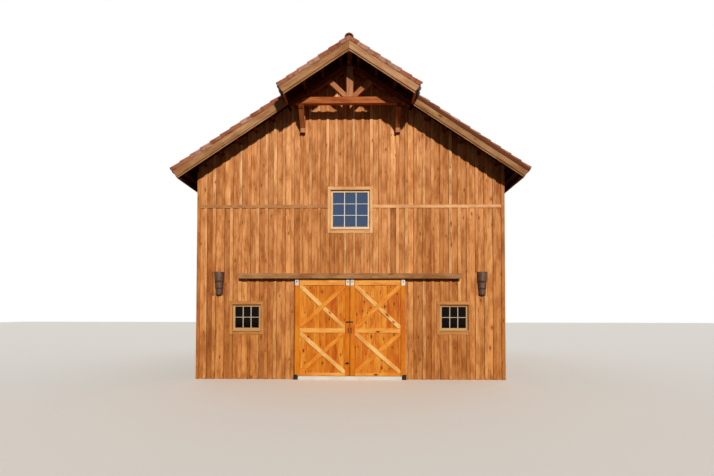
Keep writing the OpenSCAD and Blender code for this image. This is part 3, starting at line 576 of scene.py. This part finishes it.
def makeGlass(name, paintedReflectionAndShade, mirror):
    # Float glass that lets a tenth of the light through to the inside, with a gloss that returns part
    # of the sky. Its colour is painted: on the loft and back windows a painted reflection of the sky,
    # on the others painted shade of the dark inside.
    material, add = newMaterial(name)
    wave = add("TexNoise", {"Vector": add("TexCoord").outputs["Object"], "Scale": 2.5, "Detail": 0.0})
    bump = add("Bump", {"Height": wave, "Strength": 0.3, "Distance": 0.004})
    return closeMaterial(material, add, {
        "Base Color": paintedReflectionAndShade, "Roughness": 0.05, "IOR": 1.5, "Normal": bump,
        "Specular IOR Level": mirror, "Transmission Weight": 0.1})


loftGlass = makeGlass("glassFloatPaintedSky", "#3a5377", mirror=0.25)
lowGlass = makeGlass("glassFloatPaintedShade", "#0a0806", mirror=0.03)
print("materials made")


# Walls: plain CAD walls with drawn boards, and battens over the boards' joints

paintNodes(sidingEnds, "front_wall_left", "front_wall_right", "front_wall_gable", "back_wall")
paintNodes(sidingSides, "left_wall", "right_wall")
paintNodes(concrete, "floor_slab", "door_sill")
paintNodes(plankWood, "left_roof_deck", "right_roof_deck")

walls = dict(
    front=dict(turn=0, reach=-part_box("front_wall_gable")[0].y, half=wallHalf),
    right=dict(turn=90, reach=wallHalf, half=-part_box("right_wall")[0].y),
    back=dict(turn=180, reach=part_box("back_wall")[1].y, half=wallHalf),
    left=dict(turn=270, reach=wallHalf, half=-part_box("left_wall")[0].y))
for wall in walls.values():
    # In a wall's own frame x runs to the right as seen from outside, and y runs into the wall.
    wall["place"] = Matrix.Rotation(radians(wall["turn"]), 4, "Z") @ Matrix.Translation(
        (0, -wall["reach"], 0))

onAllWalls = ["siding_bands", "corner_boards"]
onGables = [*onAllWalls, "ridge_beam", "left_purlins", "right_purlins"]
inTheWay = dict(
    front=["loft_window_frame", "front_window_frames", "lanterns", "bracket_posts", "bracket_beams",
           "track_board", "track_cover", *onGables],
    right=["side_window_frames", *onAllWalls], back=["back_window_frames", *onGables],
    left=["side_window_frames", *onAllWalls])


def freeStretches(low, high, blocks):
    stretches = [(low, high)]
    for z0, z1 in blocks:
        rest = []
        for a, b in stretches:
            rest += [(a, min(b, z0)), (max(a, z1), b)]
        stretches = [(a, b) for a, b in rest if b - a > battens["shortest"]]
    return stretches


def underRoof(x):
    # The height of the deck's underside.
    return peakZ + roof["purlinDepth"] / cos(slope) - abs(x) * tan(slope)


def makeBattens(side, seed):
    wall = walls[side]
    inverse = wall["place"].inverted()
    blocks = []
    for name in inTheWay[side]:
        for low, high in solidBoxes(name, inverse):
            if low.y < -limits["touch"] and high.y > -battens["thick"]:
                blocks.append((low.x, high.x, low.z, high.z))
    if side == "front":
        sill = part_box("door_sill")
        blocks.append((sill[0].x, sill[1].x, 0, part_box("front_wall_gable")[0].z))
    isGable = side in ("front", "back")
    phase = battens["frontPhase"] * (-1 if side == "back" else 1) if isGable else battens["sidePhase"]
    count = int(wall["half"] / battens["pitch"]) + 1
    clear = battens["clear"]
    bm = bmesh.new()
    for i in range(-count, count + 1):
        middle = phase + i * battens["pitch"]
        if abs(middle) > wall["half"]:
            continue
        x0 = middle - battens["width"] / 2
        x1 = middle + battens["width"] / 2
        top = underRoof(middle if isGable else wall["reach"]) - clear
        hit = [(z0 - clear, z1 + clear) for a, b, z0, z1 in blocks if a - clear < x1 and b + clear > x0]
        for z0, z1 in freeStretches(battens["foot"], top, hit):
            verts = addBox(bm, (x0, -battens["thick"], z0), (x1, 0, z1))
            if isGable and z1 == top:
                for vert in verts:
                    if vert.co.z > z1 - limits["touch"]:
                        vert.co.z = underRoof(vert.co.x) - clear - roof["seat"]
    softenEdges(bm, battens["edge"], 1)
    bmesh.ops.transform(bm, matrix=wall["place"], verts=bm.verts)
    layGrain(bm, seed)
    addPiece(bm, side + "Battens", [battenWood])


for number, side in enumerate(walls):
    makeBattens(side, battens["seed"] + number)
print("walls boarded")


# Timbers and boards whose CAD shape is right: the same solids with eased edges and their own grain

# Each entry holds the wood, the width of the eased edge and, unless they are 0 and 1, the least and
# greatest tone.
easedTimbers = dict(
    inner_posts=(frameTimber, 0.006), inner_tie_beams=(frameTimber, 0.006),
    inner_rafters=(frameTimber, 0.006), inner_king_posts=(frameTimber, 0.006),
    ridge_beam=(purlinWood, 0.006), left_purlins=(purlinWood, 0.004),
    right_purlins=(purlinWood, 0.004), hood_top_chords=(chordWood, 0.006),
    hood_tie_beam=(hoodTimber, 0.006, 0.2, 0.3), hood_king_post=(hoodTimber, 0.006, 0.9, 1),
    hood_struts=(hoodTimber, 0.006, 0.5, 0.8), bracket_posts=(hoodTimber, 0.006, 0.8, 1),
    bracket_beams=(hoodTimber, 0.006), bracket_braces=(hoodTimber, 0.005),
    eave_boards=(hoodTimber, 0.003, 0, 0.3), hood_eave_boards=(hoodTimber, 0.003, 0, 0.3),
    corner_boards=(battenWood, 0.003, 0, 0.1), track_board=(coverWood, 0.002))
timberSeed = 40
for number, (name, (woodLook, edge, *tones)) in enumerate(easedTimbers.items()):
    least, most = tones or (0, 1)
    easeNode(name, woodLook, edge, grained=(
        timberSeed + number, lambda along, box, shade: least + (most - least) * shade))

# The band's boards right of the middle took less stain.
band = dict(edge=0.003, paler=0.8, seed=60)
easeNode("siding_bands", trimWood, band["edge"], grained=(
    band["seed"], lambda along, box, shade: band["paler"] * (box[0].x > 0) + (1 - band["paler"]) * shade))


# Rake boards and the track's cover are pieced together from boards with butt joints. A joint in a
# slope's rake board is given by its side and its distance down from the peak.
joints = dict(
    front=[(-1, 4.32), (1, 5.03)], back=[(-1, 3.4), (1, 2.9)], coverX=0.645, gap=0.002, edge=0.003,
    step=0.018, stepIn=0.008, near=0.002, rakeSeed=70, coverSeed=80)


def raiseStep(bm):
    # The outer board's lower edge moves up, and the board behind it moves in, so that both show.
    heights = {v: v.co.z + abs(v.co.x) * tan(slope) for v in bm.verts}
    steps = sorted({round(h, 3) for h in heights.values()})
    depths = sorted({round(v.co.y, 3) for v in bm.verts}, key=lambda y: -abs(y))
    for vert, height in heights.items():
        if abs(height - steps[1]) < joints["near"]:
            vert.co.z += joints["step"] / cos(slope)
        if abs(vert.co.y - depths[1]) < joints["near"]:
            vert.co.y -= copysign(joints["stepIn"], vert.co.y)


def jointRakes(bm, end):
    raiseStep(bm)
    for side, run in joints.get(end, ()):
        down = Vector((side * cos(slope), 0, -sin(slope)))
        cutGap(bm, Vector((0, 0, peakZ)) + down * run, down, joints["gap"], lambda co: co.x * side > 0)


for number, end in enumerate(("front", "back", "hood")):
    easeNode(
        end + "_rake_boards", rakeWood, joints["edge"], reshape=lambda bm: jointRakes(bm, end),
        grained=[joints["rakeSeed"] + number])
easeNode(
    "track_cover", coverWood, joints["edge"], grained=[joints["coverSeed"]],
    reshape=lambda bm: cutGap(bm, (joints["coverX"], 0, 0), (1, 0, 0), joints["gap"]))
print("timbers and boards eased")


# Windows: casing, lining, sill, sash and glazing bars, each board a solid of its own

window = dict(
    sash=0.064, sashThick=0.045, sashIn=0.045, lining=0.008, liningIn=0.0005, casing=0.025, wall=0.165,
    joint=0.0015, sillHigh=0.034, sillOut=0.028, tallSillOut=0.044, apron=0.016, apronGap=0.012,
    bar=0.023, crossBar=0.017, barDeep=0.032, crossBarIn=0.001, columns=3, tall=0.9, edge=0.003,
    near=0.01, loftPale=0.7, seed=90)


def makeWindow(bm, place, outer, glass):
    put = partial(addBox, bm, place=place)
    outLeft, outRight, outLow, outHigh = outer
    left, right, low, high = glass
    sashLeft, sashRight = left - window["sash"], right + window["sash"]
    sashLow, sashHigh = low - window["sash"], high + window["sash"]
    gap = window["joint"]
    front = -window["casing"]
    back = window["wall"]
    begin = window["liningIn"]
    sashFront = window["sashIn"]
    sashBack = sashFront + window["sashThick"]
    out = window["sash"] + window["lining"]
    sillLow = sashLow - window["sillHigh"]
    # The open doors slide past the lower windows, so only the tall window's sill stands well out.
    isTall = high - low > window["tall"]
    sillFront = -window["tallSillOut" if isTall else "sillOut"]

    # Casing: a head over two legs, with an apron between them
    put((outLeft, front, sashHigh), (outRight, 0, outHigh))
    put((outLeft, front, outLow), (sashLeft, 0, sashHigh - gap))
    put((sashRight, front, outLow), (outRight, 0, sashHigh - gap))
    put((sashLeft + gap, -window["apron"], outLow), (sashRight - gap, 0, sillLow - window["apronGap"]))

    # Lining of the opening, and the sill that the sash stands on
    put((left - out, begin, sashHigh), (right + out, back, high + out))
    put((left - out, sashFront, low - out), (right + out, back, sashLow))
    put((left - out, begin, sashLow), (sashLeft, back, sashHigh))
    put((sashRight, begin, sashLow), (right + out, back, sashHigh))
    put((sashLeft + gap, sillFront, sillLow), (sashRight - gap, sashFront, sashLow), index=1)

    # Sash, and the bars that divide its glass
    put((sashLeft, sashFront, sashLow), (left, sashBack, sashHigh), index=1)
    put((right, sashFront, sashLow), (sashRight, sashBack, sashHigh), index=1)
    put((left, sashFront, sashLow), (right, sashBack, low), index=1)
    put((left, sashFront, high), (right, sashBack, sashHigh), index=1)
    rows = 3 if isTall else 2
    columns = window["columns"]
    half = window["bar"] / 2
    cross = window["crossBar"] / 2
    barFront = (sashFront + sashBack - window["barDeep"]) / 2
    barBack = barFront + window["barDeep"]
    for i in range(1, columns):
        x = left + (right - left) * i / columns
        put((x - half, barFront, low), (x + half, barBack, high), index=2)
    barFront += window["crossBarIn"]
    barBack -= window["crossBarIn"]
    for i in range(1, rows):
        z = low + (high - low) * i / rows
        for column in range(columns):
            x0 = left + (right - left) * column / columns + (half if column else 0)
            x1 = left + (right - left) * (column + 1) / columns - (half if column < columns - 1 else 0)
            put((x0, barFront, z - cross), (x1, barBack, z + cross), index=2)


glazedNodes = dict(
    loft_window_frame=("loft_window_glass", ["front"]),
    front_window_frames=("front_window_glass", ["front"]),
    side_window_frames=("side_window_glass", ["left", "right"]),
    back_window_frames=("back_window_glass", ["back"]))
for number, (name, (glassNode, sides)) in enumerate(glazedNodes.items()):
    bm = bmesh.new()
    for side in sides:
        place = walls[side]["place"]
        panes = solidBoxes(glassNode, place.inverted())
        for low, high in solidBoxes(name, place.inverted()):
            if abs(low.y + window["casing"]) < window["near"]:
                centre = (low + high) / 2
                pane = min(panes, key=lambda p: ((p[0] + p[1]) / 2 - centre).length)
                outer, glass = [(a.x, b.x, a.z, b.z) for a, b in ((low, high), pane)]
                makeWindow(bm, place, outer, glass)
    softenEdges(bm, window["edge"], 1)
    # The loft window took less stain than the others.
    pale = window["loftPale"] * ("loft" in name)
    layGrain(bm, window["seed"] + number, lambda along, box, shade: (
        pale + (1 - window["loftPale"]) * shade))
    replaceNode(bm, name, [casingWood, sashWood, barPaint])
    paintNodes(loftGlass if "loft" in name or "back" in name else lowGlass, glassNode)
print("windows glazed")


# Roof tiles: courses of barrel tiles, with rake tiles along the verges and round ridge tiles

tile = dict(
    cover=0.2768, sideLap=0.03, exposure=0.3459, headLap=0.07, thick=0.013, barrel=0.158, crown=0.076,
    barrelSteps=8, fullness=0.8, pan=0.012, panSteps=4, panTurn=0.9, step=0.019, low=0.005,
    clear=0.006, jitter=0.0012, hoodCourses=11, spare=0.01, smooth=35, seed=101)
tileLength = tile["exposure"] + tile["headLap"]
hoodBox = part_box("hood_rake_boards")
overBoard = hoodBox[0].y - tilesBox[0].y
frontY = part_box("front_rake_boards")[0].y
vergeY = frontY - overBoard
hoodEnd = roofEnd - tile["hoodCourses"] * tile["exposure"]


def slopePlace(side):
    # x along the eaves, y down the slope, z square to it; side is 1 on the right slope.
    down = Vector((side * cos(slope), 0, -sin(slope)))
    out = Vector((side * sin(slope), 0, cos(slope)))
    place = Matrix((down.cross(out), down, out)).transposed().to_4x4()
    place.translation = (0, 0, peakZ)
    return place


def sweepProfile(points, along, thick):
    # Draws the outer profile in x and z, extrudes it by the vector along, and backs it.
    bm = bmesh.new()
    verts = [bm.verts.new((x, 0, z)) for x, z in points]
    edges = [bm.edges.new(pair) for pair in zip(verts, verts[1:])]
    grown = bmesh.ops.extrude_edge_only(bm, edges=edges)["geom"]
    bmesh.ops.translate(bm, vec=along, verts=[g for g in grown if isinstance(g, bmesh.types.BMVert)])
    makeShell(bm, thick)
    return bm


def barrelProfile():
    points = []
    for i in range(tile["barrelSteps"] + 1):
        turn = pi * i / tile["barrelSteps"]
        rise = tile["crown"] * sin(turn) ** tile["fullness"]
        points.append((tile["barrel"] / 2 * (1 - cos(turn)), rise))
    panWide = tile["cover"] + tile["sideLap"] - tile["barrel"]
    for i in range(1, tile["panSteps"] + 1):
        share = i / tile["panSteps"]
        fall = tile["pan"] * sin(pi * share * tile["panTurn"])
        points.append((tile["barrel"] + panWide * share, -fall))
    return [(x, z + tile["pan"] + tile["thick"]) for x, z in points]


fieldTile = keepMesh(
    sweepProfile(barrelProfile(), (0, tileLength, tile["step"]), tile["thick"]), "fieldTile")


def makeField(side, node, seed):
    # The pitch of the columns is worked out so that the last one's lap ends at the verge.
    chance = random.Random(seed)
    place = slopePlace(side)
    depth = tilesBox[1].y - vergeY - tile["sideLap"] - 2 * tile["clear"]
    pitch = depth / round(depth / tile["cover"])
    first = tilesBox[1].y - tile["clear"] - (0 if side > 0 else pitch + tile["sideLap"])
    bm = bmesh.new()
    for course in range(int(roofEnd / tile["exposure"])):
        tail = roofEnd - course * tile["exposure"]
        front = vergeY if course < tile["hoodCourses"] else tilesBox[0].y
        for column in range(int((tilesBox[1].y - tile["sideLap"] - front) / pitch + tile["spare"])):
            y = first - column * pitch
            lift = tileLow + tile["low"] - tile["thick"] + chance.uniform(0, tile["jitter"])
            spot = Matrix.Translation((-y * side, tail - tileLength, lift))
            lean = Matrix.Rotation(chance.uniform(-1, 1) * tile["jitter"], 4, "Z")
            stampMesh(bm, fieldTile, place @ spot @ lean)
    setTones(bm, seed)
    replaceNode(bm, node, [clayTile], smoothAngle=tile["smooth"])


makeField(1, "right_roof_tiles", tile["seed"])
makeField(-1, "left_roof_tiles", tile["seed"] + 1)


# Rake tiles hang over the verges: an upright face, a round shoulder and a short flat top.
rake = dict(
    drop=0.034, reach=0.105, high=0.098, round=0.04, steps=4, tuck=0.01, tuckDown=0.03, thick=0.012,
    flare=0.016, lift=0.024, back=0.008, inset=0.0005, spare=0.05, seed=103)


def rakeProfile():
    # The head is drawn, narrower by the flare than the tail that laps over the next tile.
    radius = rake["round"]
    points = [(rake["flare"], -rake["drop"])]
    for i in range(rake["steps"] + 1):
        turn = pi / 2 * i / rake["steps"]
        across = rake["flare"] + radius * (1 - cos(turn))
        points.append((across, rake["high"] - radius + radius * sin(turn)))
    points.append((rake["reach"], rake["high"]))
    points.append((rake["reach"] + rake["tuck"], rake["high"] - rake["tuckDown"]))
    return points


# Brown sheet covers the lower half of the rake tiles of the right slope's front verge.
sheet = dict(high=0.049, lip=0.012, lipUp=0.003, drop=0.04, thick=0.0015, back=0.007)


def makeRakeTiles():
    along = (-rake["flare"], tileLength, rake["lift"])
    shape = keepMesh(sweepProfile(rakeProfile(), along, rake["thick"]), "rakeTile")
    whole = bmesh.new()
    hoodVerge = tilesBox[0].y + rake["inset"]
    backVerge = tilesBox[1].y - rake["inset"]
    verges = [(hoodVerge, 0.0, hoodEnd, 1), (vergeY, hoodEnd, roofEnd, 1), (backVerge, 0.0, roofEnd, -1)]
    for side in (-1, 1):
        bm = bmesh.new()
        place = slopePlace(side)
        for verge, start, end, inward in verges:
            back = sheet["back"] if side > 0 and start else 0
            for course in range(ceil((end - start) / tile["exposure"] - rake["spare"])):
                tail = end - course * tile["exposure"] - (0 if course else rake["back"])
                head = max(tail - tileLength, start) if start else tail - tileLength
                spot = Matrix.Translation(((verge + inward * back) * -side, head, tileLow))
                turn = Matrix.Diagonal((-inward * side, (tail - head) / tileLength, 1, 1))
                stampMesh(bm, shape, place @ spot @ turn)
        # The slopes' tiles are cut off at the roof's middle.
        cutAway(bm, (side * rake["inset"], 0, 0), (side, 0, 0))
        closeHoles(bm)
        stampMesh(whole, keepMesh(bm, "half"), Matrix())
    turnOut(whole)
    setTones(whole, rake["seed"])
    addPiece(whole, "rakeTiles", [clayTile], smoothAngle=tile["smooth"])


def makeVergeSheet():
    points = [(0, -sheet["drop"]), (0, sheet["high"]), (sheet["lip"], sheet["high"] + sheet["lipUp"])]
    bm = sweepProfile(points, (0, roofEnd - hoodEnd, 0), sheet["thick"])
    spot = Matrix.Translation((-vergeY, hoodEnd, tileLow)) @ Matrix.Diagonal((-1, 1, 1, 1))
    bmesh.ops.transform(bm, matrix=slopePlace(1) @ spot, verts=bm.verts)
    turnOut(bm)
    addPiece(bm, "vergeSheet", [brownSheet])


# Black metal trim stands under the tiles' tails, in front of the eave boards.
trim = dict(
    mainOut=0.016, mainLow=0.11, hoodOut=0.034, hoodLow=0.05, flange=0.012, flangeOut=0.7, gap=0.001,
    edge=0.002)


def makeEaveTrim():
    bm = bmesh.new()
    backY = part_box("back_rake_boards")[1].y
    bend = deckTop - trim["flange"]
    runs = [
        (roofEnd - overBoard, trim["mainOut"], trim["mainLow"], frontY, backY),
        (hoodEnd - overBoard, trim["hoodOut"], trim["hoodLow"], hoodBox[0].y, vergeY)]
    for side in (-1, 1):
        place = slopePlace(side)
        for end, out, low, y0, y1 in runs:
            x0, x1 = sorted((-y0 * side, -y1 * side))
            begin = end + trim["gap"]
            addBox(bm, (x0, begin, low), (x1, end + out, bend), place)
            addBox(bm, (x0, begin, bend), (x1, end + out * trim["flangeOut"], deckTop - trim["gap"]), place)
    softenEdges(bm, trim["edge"])
    addPiece(bm, "eaveTrim", [blackSteel])


makeRakeTiles()
makeVergeSheet()
makeEaveTrim()

ridge = dict(
    wide=0.130, narrow=0.104, thick=0.022, sides=32, pitch=0.3565, length=0.42, rise=0.034,
    skirt=0.018, bed=0.1, bedUp=0.01, bedDeep=0.145, bedBack=0.05, plugGap=0.004, plugThick=0.03,
    back=0.002, paintedHighlightTone=0.85, seed=104)


def makeRidge():
    middleZ = peakZ + tileTop / cos(slope) + ridge["rise"] - ridge["wide"]
    shape = bmesh.new()
    bmesh.ops.create_cone(
        shape, cap_ends=False, segments=ridge["sides"], radius1=ridge["wide"],
        radius2=ridge["narrow"], depth=ridge["length"], matrix=Matrix.Rotation(radians(-90), 4, "X"))
    cutAway(shape, (0, 0, -ridge["skirt"]), (0, 0, 1))
    makeShell(shape, ridge["thick"])
    cap = keepMesh(shape, "ridgeTile")
    low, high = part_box("ridge_tiles")
    low.y += ridge["back"]
    high.y -= ridge["back"]
    count = round((high.y - low.y - ridge["length"]) / ridge["pitch"]) + 1
    step = (high.y - low.y - ridge["length"]) / (count - 1)
    bm = bmesh.new()
    for i in range(count):
        y = low.y + ridge["length"] / 2 + i * step
        stampMesh(bm, cap, Matrix.Translation((0, y, middleZ)))
    bedFrom = low.y + ridge["bedBack"]
    bedTo = high.y - ridge["bedBack"]
    addBox(
        bm, (-ridge["bed"], bedFrom, middleZ - ridge["bedDeep"]),
        (ridge["bed"], bedTo, middleZ + ridge["bedUp"]), index=1)
    # Round plugs of mortar close the two ends. They are nearly black, as painted shade inside the caps.
    for y, bore in ((bedFrom, ridge["wide"]), (bedTo, ridge["narrow"])):
        radius = bore - ridge["thick"] - ridge["plugGap"]
        plug = bmesh.ops.create_cone(
            bm, cap_ends=True, segments=ridge["sides"], radius1=radius, radius2=radius,
            depth=ridge["plugThick"],
            matrix=Matrix.Translation((0, y, middleZ)) @ Matrix.Rotation(radians(90), 4, "X"))
        paintFaces(plug["verts"], 2)
    setTones(bm, ridge["seed"])
    # The front ridge tile takes the palest clay tone: a painted highlight on its sunlit front lip.
    tone = bm.faces.layers.float.get("tone")
    for face in bm.faces:
        if face.calc_center_median().y < low.y + step / 2:
            face[tone] = ridge["paintedHighlightTone"]
    replaceNode(bm, "ridge_tiles", [clayTile, mortar, plugMortar], smoothAngle=tile["smooth"])


makeRidge()
print("roof tiled")


# Doors: knotty boards behind a frame of stiles, rails and crossed braces

leaf = dict(
    boards=9, gap=0.0006, groove=0.004, edge=0.004, ironEdge=0.002, meeting=0.004, near=0.012,
    plateEdge=0.011, boardSeed=120, frameSeed=130)
# The least and greatest tone of the frame's boards. Rails and the boards that fall to the right are
# paler than the stiles and the rising boards.
frameTones = dict(rail=(0.55, 0.75), stile=(0, 0.15), falling=(0.92, 1), rising=(0.42, 0.54))


def frameTone(along, box, shade):
    kind = "falling" if along.x * along.z < 0 else "rising"
    if abs(along.x) > limits["square"]:
        kind = "rail"
    if abs(along.z) > limits["square"]:
        kind = "stile"
    least, most = frameTones[kind]
    return least + (most - least) * shade


def trimMeeting(points, back):
    # The leaves' meeting edges stand back from the middle, so that a dark line shows between them.
    for point in points:
        if abs(point.x) < leaf["near"]:
            point.x += copysign(back, point.x)


def makeLeaf(side, number):
    panel = side + "_door_panel"
    low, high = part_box(panel)
    trimMeeting([low, high], leaf["meeting"])
    wide = (high.x - low.x - (leaf["boards"] - 1) * leaf["gap"]) / leaf["boards"]
    bm = bmesh.new()
    for i in range(leaf["boards"]):
        x = low.x + i * (wide + leaf["gap"])
        addBox(bm, (x, low.y, low.z), (x + wide, high.y, high.z))
    softenEdges(bm, leaf["groove"], 1)
    layGrain(bm, leaf["boardSeed"] + number)
    replaceNode(bm, panel, [doorBoards], side + "DoorBoards")

    easeNode(
        side + "_door_frame", doorFrameWood, leaf["edge"], grained=(leaf["frameSeed"] + number, frameTone),
        reshape=lambda bm: trimMeeting([v.co for v in bm.verts], leaf["meeting"]))
    easeNode(
        side + "_door_hangers", zinc, leaf["ironEdge"], 1,
        reshape=lambda bm: trimMeeting([v.co for v in bm.verts], leaf["plateEdge"]))
    easeNode(side + "_door_fittings", blackSteel, leaf["ironEdge"])


# A washer under a six-sided head. It stands at one share of the height from a hanger's foot to the
# panel's top.
bolt = dict(
    washer=0.019, washerThick=0.003, washerSides=24, head=0.012, headTaper=0.94, headHigh=0.008,
    up=0.55, edge=0.0008)


def makeBolts(side):
    bm = bmesh.new()
    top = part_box(side + "_door_panel")[1].z
    turn = Matrix.Rotation(radians(90), 4, "X")
    for low, high in solidBoxes(side + "_door_hangers"):
        y = low.y
        z = low.z + (top - low.z) * bolt["up"]
        for sides, foot, tip, thick in (
                (bolt["washerSides"], bolt["washer"], bolt["washer"], bolt["washerThick"]),
                (6, bolt["head"], bolt["head"] * bolt["headTaper"], bolt["headHigh"])):
            bmesh.ops.create_cone(
                bm, cap_ends=True, segments=sides, radius1=foot, radius2=tip, depth=thick,
                matrix=Matrix.Translation(((low.x + high.x) / 2, y - thick / 2, z)) @ turn)
            y -= thick
    softenEdges(bm, bolt["edge"], 1)
    addPiece(bm, side + "HangerBolts", [blackSteel], side + "_door")


for number, side in enumerate(("left", "right")):
    makeLeaf(side, number)
for side in ("left", "right"):
    makeBolts(side)
print("doors hung")


# Track, guides and lanterns

fittings = dict(guideEdge=0.003, lanternEdge=0.0015, lanternSmooth=30)
paintNodes(zinc, "door_track")
easeNode("door_guides", blackSteel, fittings["guideEdge"])
easeNode("lanterns", bronze, fittings["lanternEdge"], 1, smoothAngle=fittings["lanternSmooth"])
print("fittings fixed")


# Stage: camera, light, floor

# The camera's place in metres and its turns in radians: to the right, up, and about its own view. Its
# focal length and its horizon's row are in pixels of a frame of the given size.
camera = dict(
    x=0.4033, forward=13.3285, height=2.0255, yaw=-0.0148, pitch=0.0238, roll=0.0015,
    focal=450, horizonRow=299.98, frameWide=714, frameHigh=476, sensor=36, farthest=200)


def makeCamera():
    data = bpy.data.cameras.new("camera")
    data.sensor_width = camera["sensor"]
    data.lens = camera["focal"] / camera["frameWide"] * camera["sensor"]
    data.shift_y = (camera["horizonRow"] - camera["frameHigh"] / 2) / camera["frameWide"]
    data.clip_end = camera["farthest"]
    eye = addObject("camera", data)
    place = Matrix.Translation((
        camera["x"], -walls["front"]["reach"] - camera["forward"], camera["height"]))
    for turn, axis in ((-camera["yaw"], "Z"), (pi / 2 + camera["pitch"], "X"), (camera["roll"], "Z")):
        place = place @ Matrix.Rotation(turn, 4, axis)
    eye.matrix_world = place
    bpy.context.scene.camera = eye


light = dict(
    sunFrom=(0.2712, -1, 0.4642), sunPower=3.38, sunAngle=2.0, sunColour="#fff6e8",
    skyFront=0.06, skyBack=0.75, frontTo=-0.2, backFrom=0.6, skyColour="#eef3fb", floorSize=60,
    floorDown=0.001, floorColour="#f4f2ee", floorBounce="#47382c")


def makeWorld():
    world = bpy.data.worlds.new("studio")
    world.use_nodes = True
    world.node_tree.nodes.clear()
    add = partial(addNode, world.node_tree)
    path = add("LightPath").outputs
    seen = path["Is Camera Ray"]
    for ray in ("Is Glossy Ray", "Is Transmission Ray"):
        seen = add("Math", {0: seen, 1: path[ray]}, operation="MAXIMUM")
    # The soft light is stronger from behind, where the sun doesn't reach.
    toward = add("SeparateXYZ", {0: add("TexCoord").outputs["Generated"]})
    strength = add("MapRange", {
        0: toward.outputs[1], 1: light["frontTo"], 2: light["backFrom"], 3: light["skyFront"],
        4: light["skyBack"]})
    soft = add("Background", {0: light["skyColour"], 1: strength})
    white = add("Background", {0: (1, 1, 1, 1), 1: 1.0})
    add("OutputWorld", {0: add("MixShader", {0: seen, 1: soft, 2: white})})
    bpy.context.scene.world = world


def makeSun():
    data = bpy.data.lights.new("sun", "SUN")
    data.energy = light["sunPower"]
    data.angle = radians(light["sunAngle"])
    data.color = linearColour(light["sunColour"])[:3]
    turn = Vector(light["sunFrom"]).to_track_quat("Z", "Y")
    addObject("sun", data).rotation_euler = turn.to_euler()


def makeFloor():
    bm = bmesh.new()
    bmesh.ops.create_grid(bm, x_segments=1, y_segments=1, size=light["floorSize"])
    bmesh.ops.translate(bm, vec=(0, 0, -light["floorDown"]), verts=bm.verts)
    # The floor looks pale, and throws back less light than it shows.
    material, add = newMaterial("floorMatt")
    colour = add("Mix", {
        0: add("LightPath").outputs["Is Camera Ray"], 6: light["floorBounce"],
        7: light["floorColour"]}, data_type="RGBA").outputs[2]
    closeMaterial(material, add, {"Base Color": colour, "Roughness": 0.9})
    floor = addObject("floor", keepMesh(bm, "floor"))
    floor.data.materials.append(material)


makeCamera()
makeWorld()
makeSun()
makeFloor()
bpy.context.scene.view_settings.view_transform = "Standard"
print("stage set")
